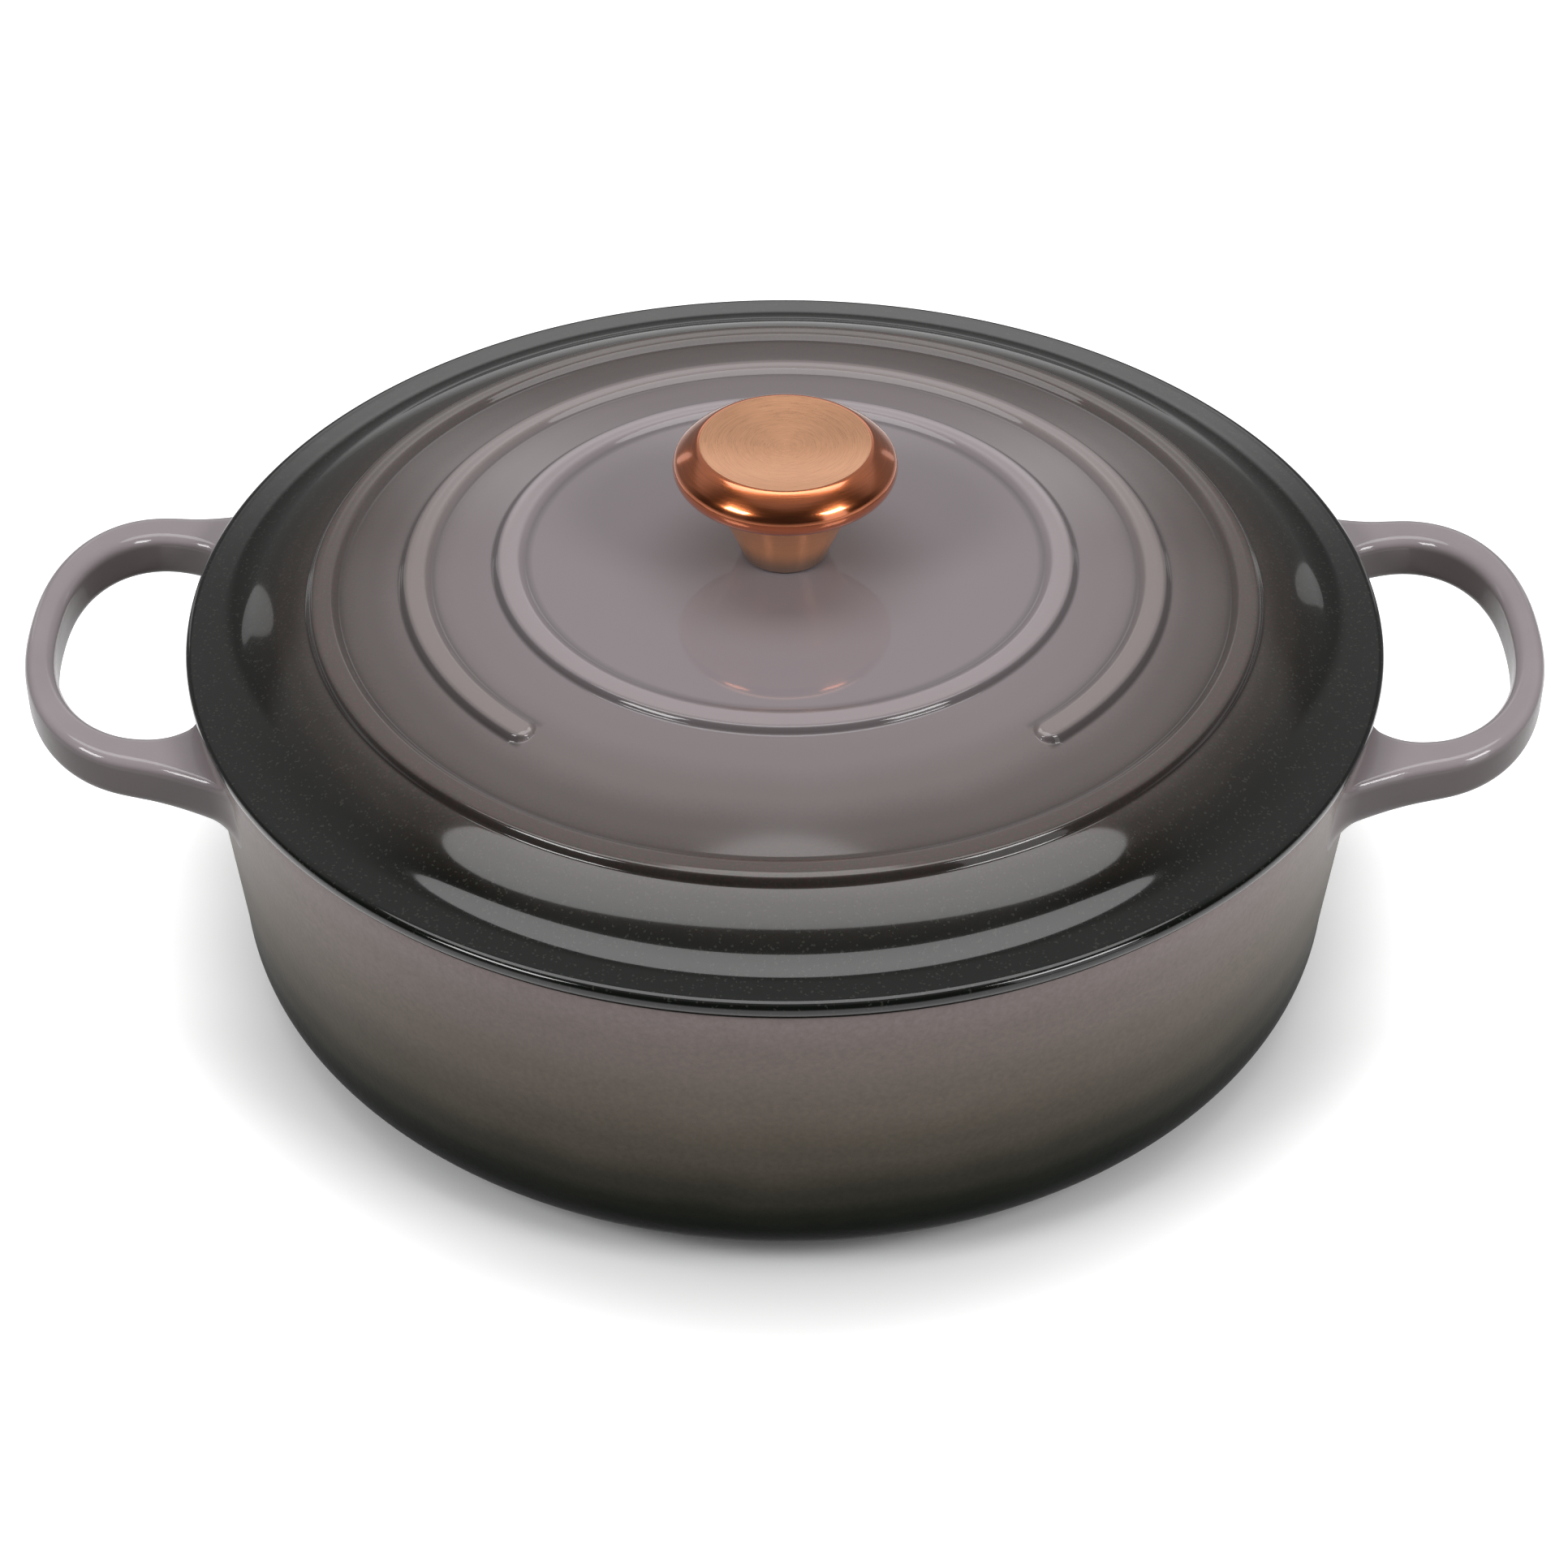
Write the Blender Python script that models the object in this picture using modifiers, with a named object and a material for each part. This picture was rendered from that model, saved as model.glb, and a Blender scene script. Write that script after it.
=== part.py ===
"""Wide round casserole in enamelled cast iron: a pot with two cast loop handles, and a ringed
lid that lifts off by a turned metal knob. Metres, +Z up, origin at the centre of the base."""

import math

import bmesh
import bpy
from mathutils import Matrix, Vector

OBJECT_NAME = "dutch_oven"

# Free space left between pieces that rest on each other
SEAT_GAP = 0.0003

# Pot: a drafted wall that turns into the flat base through a soft corner
POT_HEIGHT = 0.0958
POT_RIM_RADIUS = 0.1544
WALL_FOOT_RADIUS = 0.1472
CORNER_HEIGHT = 0.0235
CORNER_POWER = 2.4
BASE_RADIUS = 0.1070
POT_WALL = 0.0033
POT_FLOOR = 0.0039
POT_RIM_ROUND = 0.0011

# Loop handles: a flat bar that leaves the wall in a broad root and tilts up a little
HANDLE_REACH = 0.0441
HANDLE_DEPTH = 0.0356
HANDLE_HALF_WIDTH = 0.0552
HANDLE_POWER = 2.25
HOLE_DEPTH = 0.0266
HOLE_HALF_WIDTH = 0.0435
HOLE_POWER = 2.3
HANDLE_BAR = 0.0079
HANDLE_THICKNESS = 0.0128
HANDLE_DROP = 0.0124
HANDLE_TILT = math.radians(8.4)
HANDLE_EDGE_ROUND = 0.0032
ROOT_REACH = 0.0240
ROOT_WIDENING = 0.0080
HOLE_NARROWING = 0.0030
ROOT_DEEPENING = 0.0018
ROOT_RISE = 0.0012
ROOT_ROUNDING = 0.0040
ROOT_SINK = 0.0010

# Fillets where a handle meets the wall: each stops a little short of lying flat on it
ROOT_FILLET = 0.0040
TOP_FILLET = 0.0020
LEAST_FILLET = 0.0001
FILLET_SWEEP = 0.9
FILLET_SHARE = 0.55
ROUNDING_SHARE = 0.45

# Lid: a stepped dome over a flat flange, with three raised rings
LID_OVERHANG = 0.0016
FLANGE_THICKNESS = 0.0042
FLANGE_WIDTH = 0.0080
CREASE_WIDTH = 0.0090
SHOULDER_WIDTH = 0.0150
LID_EDGE_DEPTH = 0.0028
LID_EDGE_POWER = 2.6
LID_WALL = 0.0033
FLANGE_SLOPE = math.radians(4.0)
SHOULDER_SLOPE = math.radians(27.0)
DOME_SLOPE = math.radians(10.1)
CROWN_SLOPE = math.radians(1.8)

# Raised rings: a low inner step and a taller outer one, as shares of width and height
RING_PITCH = 0.0242
RING_WIDTH = 0.0088
RING_HEIGHT = 0.0019
RING_SINK = 0.0002
RING_ROOT = 0.0015
RING_GAP_ANGLE = math.radians(40.5)
RING_SHAPE = ((0.09, 0.30), (0.20, 0.46), (0.75, 1.0), (0.88, 0.72), (0.97, 0.10))
NOSE_POWER = 4

# Locating lip under the lid, with small pads that centre it in the pot
LIP_DEPTH = 0.0045
LIP_CLEARANCE = 0.0010
LIP_WALL = 0.0036
LIP_CHAMFER = 0.0007
LIP_DRAFT = 0.0008
PAD_RADIUS = 0.0030
PAD_STAND = 0.0005
PAD_COUNT = 3

# Knob: a conical stem and a broad dished head that plugs onto it
STEM_FOOT_RADIUS = 0.0114
STEM_TOP_RADIUS = 0.0195
STEM_HEIGHT = 0.0183
STEM_HOLLOWING = 0.0006
STEM_FOOT_ROUND = 0.0008
SPIGOT_RADIUS = 0.0080
SPIGOT_HEIGHT = 0.0060
HEAD_HEIGHT = 0.0142
DISH_RADIUS = 0.0215
DISH_DEPTH = 0.0014

# The head's outside from the dish's edge: each bend's radius, the slope at its end, and facets
HEAD_BENDS = (
    (0.0027, math.radians(25.0), 3),
    (0.0152, math.radians(45.0), 2),
    (0.0049, math.radians(90.0), 4),
    (0.0042, math.radians(150.0), 3),
)

# Screw and washers that hold the knob from inside the lid
SCREW_RADIUS = 0.0025
SCREW_CLEARANCE = 0.0003
SCREW_HEAD_RADIUS = 0.0054
SCREW_HEAD_HEIGHT = 0.0030
SCREW_HEAD_BAND = 0.0010
SCREW_CHAMFER = 0.0008
SCREW_GRIP = 0.0140
SCREW_SLOT_LENGTH = 0.0066
SCREW_SLOT_WIDTH = 0.0013
SCREW_SLOT_DEPTH = 0.0012
FLAT_WASHER_RADIUS = 0.0080
FLAT_WASHER_THICKNESS = 0.0012
SPRING_WASHER_RADIUS = 0.0050
SPRING_WASHER_THICKNESS = 0.0014
SPRING_WASHER_SPLIT = 0.0010
SPLIT_LEAN = math.radians(25.0)
WASHER_BEVEL = 0.0002

# Facets round the axis
POT_STEPS = 72
LID_STEPS = 60
KNOB_STEPS = 32
SMALL_STEPS = 20

# Facets and stations along the outlines
CORNER_FACETS = 8
INNER_CORNER_FACETS = 5
RIM_FACETS = 2
LID_EDGE_FACETS = 6
BAR_EDGE_FACETS = 2
BAR_FLAT_FACETS = 3
ROOT_STATIONS = 8
ROOT_CROWDING = 1.6
LOOP_STATIONS = 8
SLOPE_FACETS = 4
CREASE_FACETS = 3
CROWN_PLACES = (0.45, 0.8)
HOLLOW_PLACES = (1.0, 0.5)
OPEN_RING_STATIONS = 40
NOSE_TURNS = (82, 60, 40, 20)
STEM_FACETS = 6
STEM_FOOT_FACETS = 2
DISH_PLACES = (0.0, 0.4, 0.7, 0.9, 1.0)
SCREW_CROWN_FACETS = 4
HALVINGS = 30

MERGE = 0.00001

# Places worked out from the sizes above
LID_RADIUS = POT_RIM_RADIUS + LID_OVERHANG
CREASE_RADIUS = LID_RADIUS - FLANGE_WIDTH
SHOULDER_END = CREASE_RADIUS - CREASE_WIDTH
SHOULDER_START = SHOULDER_END - SHOULDER_WIDTH
RING_OUTER = [SHOULDER_START - k * RING_PITCH for k in (2, 1, 0)]
RING_INNER = [radius - RING_WIDTH for radius in RING_OUTER]
LIP_RADIUS = POT_RIM_RADIUS - POT_WALL - LIP_CLEARANCE
BORE_RADIUS = SCREW_RADIUS + SCREW_CLEARANCE


def clear_scene():
    for obj in list(bpy.data.objects):
        bpy.data.objects.remove(obj, do_unlink=True)


def new_collection(name):
    collection = bpy.data.collections.new(name)
    bpy.context.scene.collection.children.link(collection)
    return collection


def material(name, colour, roughness, metallic=0.0, coat=0.0):
    made = bpy.data.materials.new(name)
    made.use_nodes = True
    shader = made.node_tree.nodes["Principled BSDF"]
    shader.inputs["Base Color"].default_value = (*colour, 1.0)
    shader.inputs["Roughness"].default_value = roughness
    shader.inputs["Metallic"].default_value = metallic
    shader.inputs["Coat Weight"].default_value = coat
    made.diffuse_color = (*colour, 1.0)
    return made


def add_object(name, mesh, collection, finish=None):
    obj = bpy.data.objects.new(name, mesh)
    collection.objects.link(obj)
    if finish:
        mesh.materials.append(finish)
    return obj


def hide_cutter(obj):
    obj.hide_render = True
    obj.display_type = "WIRE"


def arc(centre, radii, start, end, count, power=2.0):
    """Points from angle start to end, in degrees, on an ellipse or a squarer superellipse."""
    points = []
    for k in range(count + 1):
        angle = math.radians(start + (end - start) * k / count)
        across = math.copysign(abs(math.cos(angle)) ** (2 / power), math.cos(angle))
        along = math.copysign(abs(math.sin(angle)) ** (2 / power), math.sin(angle))
        points.append((centre[0] + radii[0] * across, centre[1] + radii[1] * along))
    return points


def spaced(start, end, count):
    return [start + (end - start) * k / count for k in range(1, count + 1)]


def lathe(name, profile, steps, collection, finish=None, closed=False):
    """A turned piece. The profile runs down its outer side, from top to bottom."""
    mesh = bpy.data.meshes.new(name)
    edges = [(k, k + 1) for k in range(len(profile) - 1)]
    if closed:
        edges.append((len(profile) - 1, 0))
    mesh.from_pydata([(radius, 0.0, height) for radius, height in profile], edges, [])
    obj = add_object(name, mesh, collection, finish)
    screw = obj.modifiers.new("turn", "SCREW")
    screw.axis = "Z"
    screw.angle = math.tau
    screw.steps = steps
    screw.render_steps = steps
    screw.use_merge_vertices = True
    screw.merge_threshold = MERGE
    screw.use_smooth_shade = True
    return obj


def seat(obj, parent, height):
    """Puts a piece on its parent, with its origin at a height on the parent's axis."""
    obj.parent = parent
    obj.location.z = height


def join(target, other, operation="UNION"):
    """Adds or cuts a shape that is given in the target's own frame."""
    other.parent = target
    boolean = target.modifiers.new(other.name, "BOOLEAN")
    boolean.operation = operation
    boolean.object = other
    boolean.solver = "EXACT"
    hide_cutter(other)


def loft(name, sections, collection):
    """A closed skin through sections that all have the same number of points."""
    shape = bmesh.new()
    rows = [[shape.verts.new(point) for point in section] for section in sections]
    for before, after in zip(rows, rows[1:]):
        for k, corner in enumerate(before):
            following = (k + 1) % len(before)
            shape.faces.new((corner, before[following], after[following], after[k]))
    shape.faces.new(reversed(rows[0]))
    shape.faces.new(rows[-1])
    bmesh.ops.recalc_face_normals(shape, faces=shape.faces)
    mesh = bpy.data.meshes.new(name)
    shape.to_mesh(mesh)
    shape.free()
    mesh.shade_smooth()
    return add_object(name, mesh, collection)


def ball(name, radii, centre, collection):
    """An ellipsoid at a place."""
    shape = bmesh.new()
    bmesh.ops.create_uvsphere(shape, u_segments=12, v_segments=6, radius=1.0)
    bmesh.ops.scale(shape, vec=radii, verts=shape.verts)
    bmesh.ops.translate(shape, vec=centre, verts=shape.verts)
    mesh = bpy.data.meshes.new(name)
    shape.to_mesh(mesh)
    shape.free()
    mesh.shade_smooth()
    return add_object(name, mesh, collection)


def block(name, size, centre, lean, collection):
    """A box at a place, leaning about its own Y axis."""
    shape = bmesh.new()
    bmesh.ops.create_cube(shape, size=1.0)
    bmesh.ops.scale(shape, vec=size, verts=shape.verts)
    bmesh.ops.rotate(shape, matrix=Matrix.Rotation(lean, 3, "Y"), verts=shape.verts)
    bmesh.ops.translate(shape, vec=centre, verts=shape.verts)
    mesh = bpy.data.meshes.new(name)
    shape.to_mesh(mesh)
    shape.free()
    return add_object(name, mesh, collection)


# Pot


def wall_radius(height):
    """Outside radius of the pot above its corner."""
    share = (height - CORNER_HEIGHT) / (POT_HEIGHT - CORNER_HEIGHT)
    return WALL_FOOT_RADIUS + (POT_RIM_RADIUS - WALL_FOOT_RADIUS) * share


def pot_profile():
    """From the middle of the floor, up the inside, over the rim, down the outside."""
    inner_rim = POT_RIM_RADIUS - POT_WALL
    inner_foot = wall_radius(CORNER_HEIGHT + POT_FLOOR) - POT_WALL
    inner_base = BASE_RADIUS - POT_WALL / 2
    inside = arc(
        (inner_base, CORNER_HEIGHT + POT_FLOOR),
        (inner_foot - inner_base, CORNER_HEIGHT),
        270, 360, INNER_CORNER_FACETS, CORNER_POWER,
    )
    top = POT_HEIGHT - POT_RIM_ROUND
    rounding = (POT_RIM_ROUND, POT_RIM_ROUND)
    rim = arc((inner_rim + POT_RIM_ROUND, top), rounding, 180, 90, RIM_FACETS)
    rim += arc((POT_RIM_RADIUS - POT_RIM_ROUND, top), rounding, 90, 0, RIM_FACETS)
    outside = arc(
        (BASE_RADIUS, CORNER_HEIGHT),
        (WALL_FOOT_RADIUS - BASE_RADIUS, CORNER_HEIGHT),
        0, -90, CORNER_FACETS, CORNER_POWER,
    )
    return [(0.0, POT_FLOOR), *inside, *rim, *outside, (0.0, 0.0)]


def root_spread(distance, amount):
    """How much the handle swells towards the wall, before the small fillet at the wall itself."""
    return amount * max(1 - distance / ROOT_REACH, 0.0) ** 2


def wall_fillet(distance, radius):
    """A fillet that stops a little short of lying flat on the wall, and goes on straight inside it."""
    inset = min(max(radius - distance, 0.0), FILLET_SWEEP * radius)
    left = math.sqrt(radius ** 2 - inset ** 2)
    return radius - left + (inset / left) * max(radius - inset - distance, 0.0)


HANDLE_ROOT_HEIGHT = POT_HEIGHT - HANDLE_DROP
ROOT_RADIUS = wall_radius(HANDLE_ROOT_HEIGHT)
HANDLE_TIP = ROOT_RADIUS + HANDLE_REACH + (POT_RIM_RADIUS - ROOT_RADIUS)
HANDLE_CENTRE = HANDLE_TIP - HANDLE_DEPTH
HOLE_CENTRE = HANDLE_TIP - HANDLE_BAR - HOLE_DEPTH


def superellipse(centre, depth, half_width, power, angle):
    return arc((centre, 0.0), (depth, half_width), angle, angle, 1, power)[0]


def hole_edge(distance):
    """The hole's edge at a distance from the wall, between the wall and its widest place."""
    low, high = 90.0, 180.0
    for _ in range(HALVINGS):
        middle = (low + high) / 2
        x, y = superellipse(HOLE_CENTRE, HOLE_DEPTH, HOLE_HALF_WIDTH, HOLE_POWER, middle)
        if math.hypot(x, y) - ROOT_RADIUS > distance:
            low = middle
        else:
            high = middle
    return math.asin(y / math.hypot(x, y))


def section_outline(width, above, below, growth):
    """Rounded oblong: shares of the width from the hole outwards, and heights off the middle."""
    upper = min(HANDLE_EDGE_ROUND, ROUNDING_SHARE * width)
    lower = min(HANDLE_EDGE_ROUND + growth, ROUNDING_SHARE * width)
    corners = (
        (1 - upper / width, above - upper, upper),
        (upper / width, above - upper, upper),
        (lower / width, lower - below, lower),
        (1 - lower / width, lower - below, lower),
    )
    points = []
    for k, (centre, level, radius) in enumerate(corners):
        size = (radius / width, radius)
        points += arc((centre, level), size, 90 * k, 90 * k + 90, BAR_EDGE_FACETS)
        if k in (0, 2):
            flat = spaced(centre, corners[k + 1][0], BAR_FLAT_FACETS)[:-1]
            points += [(across, points[-1][1]) for across in flat]
    return points


def handle_height(x):
    return HANDLE_ROOT_HEIGHT + (x - ROOT_RADIUS) * math.tan(HANDLE_TILT)


def bar_outline(width, distance):
    """The section's outline at a distance from the wall."""
    room = HANDLE_DROP - POT_RIM_ROUND - HANDLE_THICKNESS / 2 - ROOT_RISE
    upper_fillet = max(min(TOP_FILLET, FILLET_SHARE * room), LEAST_FILLET)
    above = HANDLE_THICKNESS / 2 + root_spread(distance, ROOT_RISE)
    below = HANDLE_THICKNESS / 2 + root_spread(distance, ROOT_DEEPENING)
    above += wall_fillet(distance, upper_fillet)
    below += wall_fillet(distance, ROOT_FILLET)
    return section_outline(width, above, below, root_spread(distance, ROOT_ROUNDING))


def root_section(share):
    """A section that follows the wall: share 0 is at the wall and 1 at the hole's widest place.
    A share below 0 gives the end inside the wall."""
    if share < 0:
        hole_distance = edge_distance = -ROOT_SINK
    else:
        hole_distance = share * (math.hypot(HOLE_CENTRE, HOLE_HALF_WIDTH) - ROOT_RADIUS)
        edge_distance = share * (math.hypot(HANDLE_CENTRE, HANDLE_HALF_WIDTH) - ROOT_RADIUS)
    inner_angle = hole_edge(hole_distance)
    narrowing = root_spread(hole_distance, HOLE_NARROWING)
    inner_angle -= (narrowing + wall_fillet(hole_distance, ROOT_FILLET)) / ROOT_RADIUS
    edge_width = HANDLE_HALF_WIDTH + root_spread(edge_distance, ROOT_WIDENING)
    edge_width += wall_fillet(edge_distance, ROOT_FILLET)
    outer_angle = math.asin(edge_width / (ROOT_RADIUS + edge_distance))
    width = (outer_angle - inner_angle) * (ROOT_RADIUS + edge_distance)
    points = []
    for across, height in bar_outline(width, (hole_distance + edge_distance) / 2):
        distance = hole_distance + (edge_distance - hole_distance) * across
        angle = inner_angle + (outer_angle - inner_angle) * across
        flat_radius = ROOT_RADIUS + distance
        level = handle_height(flat_radius * math.cos(angle)) + height
        radius = flat_radius + (wall_radius(level) - ROOT_RADIUS) * (1 - max(share, 0.0))
        points.append((radius * math.cos(angle), radius * math.sin(angle), level))
    return points


def loop_section(angle):
    """A section across the bar where it bends round the hole, angle 0 at the tip."""
    inner = Vector(superellipse(HOLE_CENTRE, HOLE_DEPTH, HOLE_HALF_WIDTH, HOLE_POWER, angle))
    outer = Vector(
        superellipse(HANDLE_CENTRE, HANDLE_DEPTH, HANDLE_HALF_WIDTH, HANDLE_POWER, angle)
    )
    outer.y += root_spread(outer.length - ROOT_RADIUS, ROOT_WIDENING)
    inner.y -= root_spread(inner.length - ROOT_RADIUS, HOLE_NARROWING)
    width = (outer - inner).length
    points = []
    for across, height in bar_outline(width, ((outer + inner) / 2).length - ROOT_RADIUS):
        place = inner.lerp(outer, across)
        points.append((place.x, place.y, handle_height(place.x) + height))
    return points


def handle_sections():
    """Half a handle, from inside the wall to the tip, then the same mirrored across X."""
    shares = [(k / ROOT_STATIONS) ** ROOT_CROWDING for k in range(ROOT_STATIONS)]
    half = [root_section(-1.0)]
    half += [root_section(share) for share in shares]
    half += [loop_section(90.0 * (1 - k / LOOP_STATIONS)) for k in range(LOOP_STATIONS)]
    mirrored = [[(x, -y, z) for x, y, z in section] for section in reversed(half)]
    return [*half, loop_section(0.0), *mirrored]


def build_pot(parts, cutters, finish):
    pot = lathe("pot_body", pot_profile(), POT_STEPS, parts, finish)
    sections = handle_sections()
    for name, side in (("right_handle", 1), ("left_handle", -1)):
        turned = [[(side * x, y, z) for x, y, z in section] for section in sections]
        join(pot, loft(name, turned, cutters))
    return pot


# Lid, with its own origin on the axis at the height of its seat on the rim


def lid_slopes():
    """Radius and slope of the lid's top, from the rim inwards, without the rings."""
    return (
        (LID_RADIUS, FLANGE_SLOPE),
        (CREASE_RADIUS, FLANGE_SLOPE),
        (SHOULDER_END, SHOULDER_SLOPE),
        (SHOULDER_START, DOME_SLOPE),
        (RING_OUTER[0], DOME_SLOPE),
        (RING_INNER[0], CROWN_SLOPE),
        (0.0, 0.0),
    )


def lid_height(radius):
    """Height of the lid's top at a radius, where the slope changes evenly between its knots."""
    height = FLANGE_THICKNESS - LID_EDGE_DEPTH * math.tan(FLANGE_SLOPE)
    slopes = lid_slopes()
    for (outer, outer_slope), (inner, inner_slope) in zip(slopes, slopes[1:]):
        reach = max(radius, inner)
        if reach >= outer:
            break
        turn = (inner_slope - outer_slope) / (outer - inner)
        slope = outer_slope + turn * (outer - reach)
        if inner_slope == outer_slope:
            height += math.tan(slope) * (outer - reach)
        else:
            height += math.log(math.cos(outer_slope) / math.cos(slope)) / turn
    return height


def on_lid(radius, above=0.0):
    return (radius, lid_height(radius) + above)


def ring_profile(inner):
    """One raised ring, from its inner foot to its outer foot."""
    steps = [(inner + across * RING_WIDTH, share * RING_HEIGHT) for across, share in RING_SHAPE]
    return [on_lid(inner), *[on_lid(*step) for step in steps], on_lid(inner + RING_WIDTH)]


def lip_profile():
    """Down the outside of the locating lip, across its foot and up into the lid's hollow."""
    inner = LIP_RADIUS - LIP_WALL
    chamfer = (LIP_CHAMFER, LIP_CHAMFER)
    level = LIP_CHAMFER - LIP_DEPTH
    points = [(LIP_RADIUS, 0.0)]
    points += arc((LIP_RADIUS - LIP_CHAMFER, level), chamfer, 0, -90, 1)
    points += arc((inner + LIP_CHAMFER, level), chamfer, -90, -180, 1)
    points.append(on_lid(inner - LIP_DRAFT, -LID_WALL))
    return points


def lid_profile():
    """From the screw's bore over the top to the rim, then back under to the bore."""
    top = [on_lid(BORE_RADIUS)]
    top += [on_lid(share * RING_INNER[0]) for share in CROWN_PLACES]
    top += ring_profile(RING_INNER[0])
    top.append(on_lid((RING_INNER[1] + RING_OUTER[1]) / 2))
    top += ring_profile(RING_INNER[2])
    top += [on_lid(radius) for radius in spaced(SHOULDER_START, SHOULDER_END, SLOPE_FACETS)]
    top += [on_lid(radius) for radius in spaced(SHOULDER_END, CREASE_RADIUS, CREASE_FACETS)]
    half_edge = lid_height(LID_RADIUS - LID_EDGE_DEPTH) / 2
    edge = arc(
        (LID_RADIUS - LID_EDGE_DEPTH, half_edge),
        (LID_EDGE_DEPTH, half_edge),
        90, -90, LID_EDGE_FACETS, LID_EDGE_POWER,
    )
    lip = lip_profile()
    hollow = [SHOULDER_END, (SHOULDER_END + SHOULDER_START) / 2, SHOULDER_START]
    hollow += [RING_OUTER[1], RING_OUTER[0]]
    hollow += [share * RING_INNER[0] for share in HOLLOW_PLACES]
    hollow.append(BORE_RADIUS)
    under = [on_lid(radius, -LID_WALL) for radius in hollow if radius < lip[-1][0]]
    return [*top, *edge, *lip, *under]


def open_ring_places():
    """Angle, share of the full width, and share of the nose's length, along the open ring."""
    radius = (RING_INNER[1] + RING_OUTER[1]) / 2
    nose = RING_WIDTH / 2 / radius
    start = RING_GAP_ANGLE + nose - math.pi / 2
    sweep = math.tau - 2 * (RING_GAP_ANGLE + nose)
    turns = [math.radians(turn) for turn in NOSE_TURNS]
    first = [(start - nose * math.sin(turn), math.cos(turn), math.sin(turn)) for turn in turns]
    middle = [(angle, 1.0, 0.0) for angle in spaced(start, start + sweep, OPEN_RING_STATIONS)]
    last = [
        (start + sweep + nose * math.sin(turn), math.cos(turn), math.sin(turn))
        for turn in reversed(turns)
    ]
    return [*first, (start, 1.0, 0.0), *middle, *last]


def open_ring_sections():
    """The middle ring, open at the front, with rounded ends that fall to the dome."""
    radius = (RING_INNER[1] + RING_OUTER[1]) / 2
    sections = []
    for angle, across, ahead in open_ring_places():
        tall = RING_HEIGHT * math.sqrt(1 - ahead ** NOSE_POWER)
        outline = [(0.0, -RING_ROOT), (0.0, -RING_SINK)]
        outline += [(share, height * tall) for share, height in RING_SHAPE]
        outline += [(1.0, -RING_SINK), (1.0, -RING_ROOT)]
        section = []
        for share, height in outline:
            place, level = on_lid(radius + (share - 0.5) * RING_WIDTH * across, height)
            section.append((place * math.cos(angle), place * math.sin(angle), level))
        sections.append(section)
    return sections


def build_lid(parts, cutters, finish):
    lid = lathe("lid", lid_profile(), LID_STEPS, parts, finish, closed=True)
    join(lid, loft("open_ring", open_ring_sections(), cutters))
    place = LIP_RADIUS + PAD_STAND - PAD_RADIUS
    height = PAD_RADIUS / 2 - LIP_DEPTH
    for k in range(PAD_COUNT):
        angle = math.tau * k / PAD_COUNT + math.pi / 2
        centre = (place * math.cos(angle), place * math.sin(angle), height)
        size = (PAD_RADIUS, PAD_RADIUS, PAD_RADIUS / 2)
        join(lid, ball(f"centring_pad_{k + 1}", size, centre, cutters))
    return lid


# Knob: the stem's origin is at its foot, and the head's at its seat on the stem


KNOB_SEAT = lid_height(BORE_RADIUS) + SEAT_GAP
THREAD_DEPTH = SCREW_GRIP + SEAT_GAP


def stem_profile():
    """From the spigot's top, down the cone to the foot, then up inside the tapped hole."""
    top = STEM_HEIGHT + SPIGOT_HEIGHT
    points = [(SPIGOT_RADIUS, top), (SPIGOT_RADIUS, STEM_HEIGHT)]
    points.append((STEM_TOP_RADIUS - STEM_FOOT_ROUND / 2, STEM_HEIGHT))
    for k in range(STEM_FACETS + 1):
        share = 1 - k / STEM_FACETS
        height = STEM_FOOT_ROUND + (STEM_HEIGHT - 1.5 * STEM_FOOT_ROUND) * share
        straight = STEM_FOOT_RADIUS + (STEM_TOP_RADIUS - STEM_FOOT_RADIUS) * share
        points.append((straight - 4 * STEM_HOLLOWING * share * (1 - share), height))
    points += arc(
        (STEM_FOOT_RADIUS - STEM_FOOT_ROUND, STEM_FOOT_ROUND),
        (STEM_FOOT_ROUND, STEM_FOOT_ROUND),
        -30, -90, STEM_FOOT_FACETS,
    )
    points += [(BORE_RADIUS, 0.0), (BORE_RADIUS, THREAD_DEPTH)]
    return [(0.0, top), *points, (0.0, THREAD_DEPTH)]


def bent(start, slope, bends):
    """Points along a run of bends that turn downwards, on from a place where the slope is known."""
    points = []
    radius, height = start
    for size, end, facets in bends:
        for angle in spaced(slope, end, facets):
            across = size * (math.sin(angle) - math.sin(slope))
            fall = size * (math.cos(slope) - math.cos(angle))
            points.append((radius + across, height - fall))
        radius, height = points[-1]
        slope = end
    return points


def head_profile():
    """From the middle of the dish to its edge, round the widest place and in to the socket."""
    points = [
        (DISH_RADIUS * share, HEAD_HEIGHT - DISH_DEPTH * (1 - share ** 2)) for share in DISH_PLACES
    ]
    rising = -math.atan(2 * DISH_DEPTH / DISH_RADIUS)
    points += bent(points[-1], rising, HEAD_BENDS)
    socket = SPIGOT_RADIUS + SEAT_GAP
    under = [(STEM_TOP_RADIUS, 0.0), (socket, 0.0), (socket, SPIGOT_HEIGHT)]
    return [*points, *under, (0.0, SPIGOT_HEIGHT)]


def build_knob(lid, parts, head_finish, stem_finish):
    stem = lathe("knob_stem", stem_profile(), KNOB_STEPS, parts, stem_finish)
    seat(stem, lid, KNOB_SEAT)
    head = lathe("knob_head", head_profile(), KNOB_STEPS, parts, head_finish)
    seat(head, stem, STEM_HEIGHT + SEAT_GAP)


# Fastening: each piece's origin is at the height of its upper seat, and it hangs below that


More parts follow.
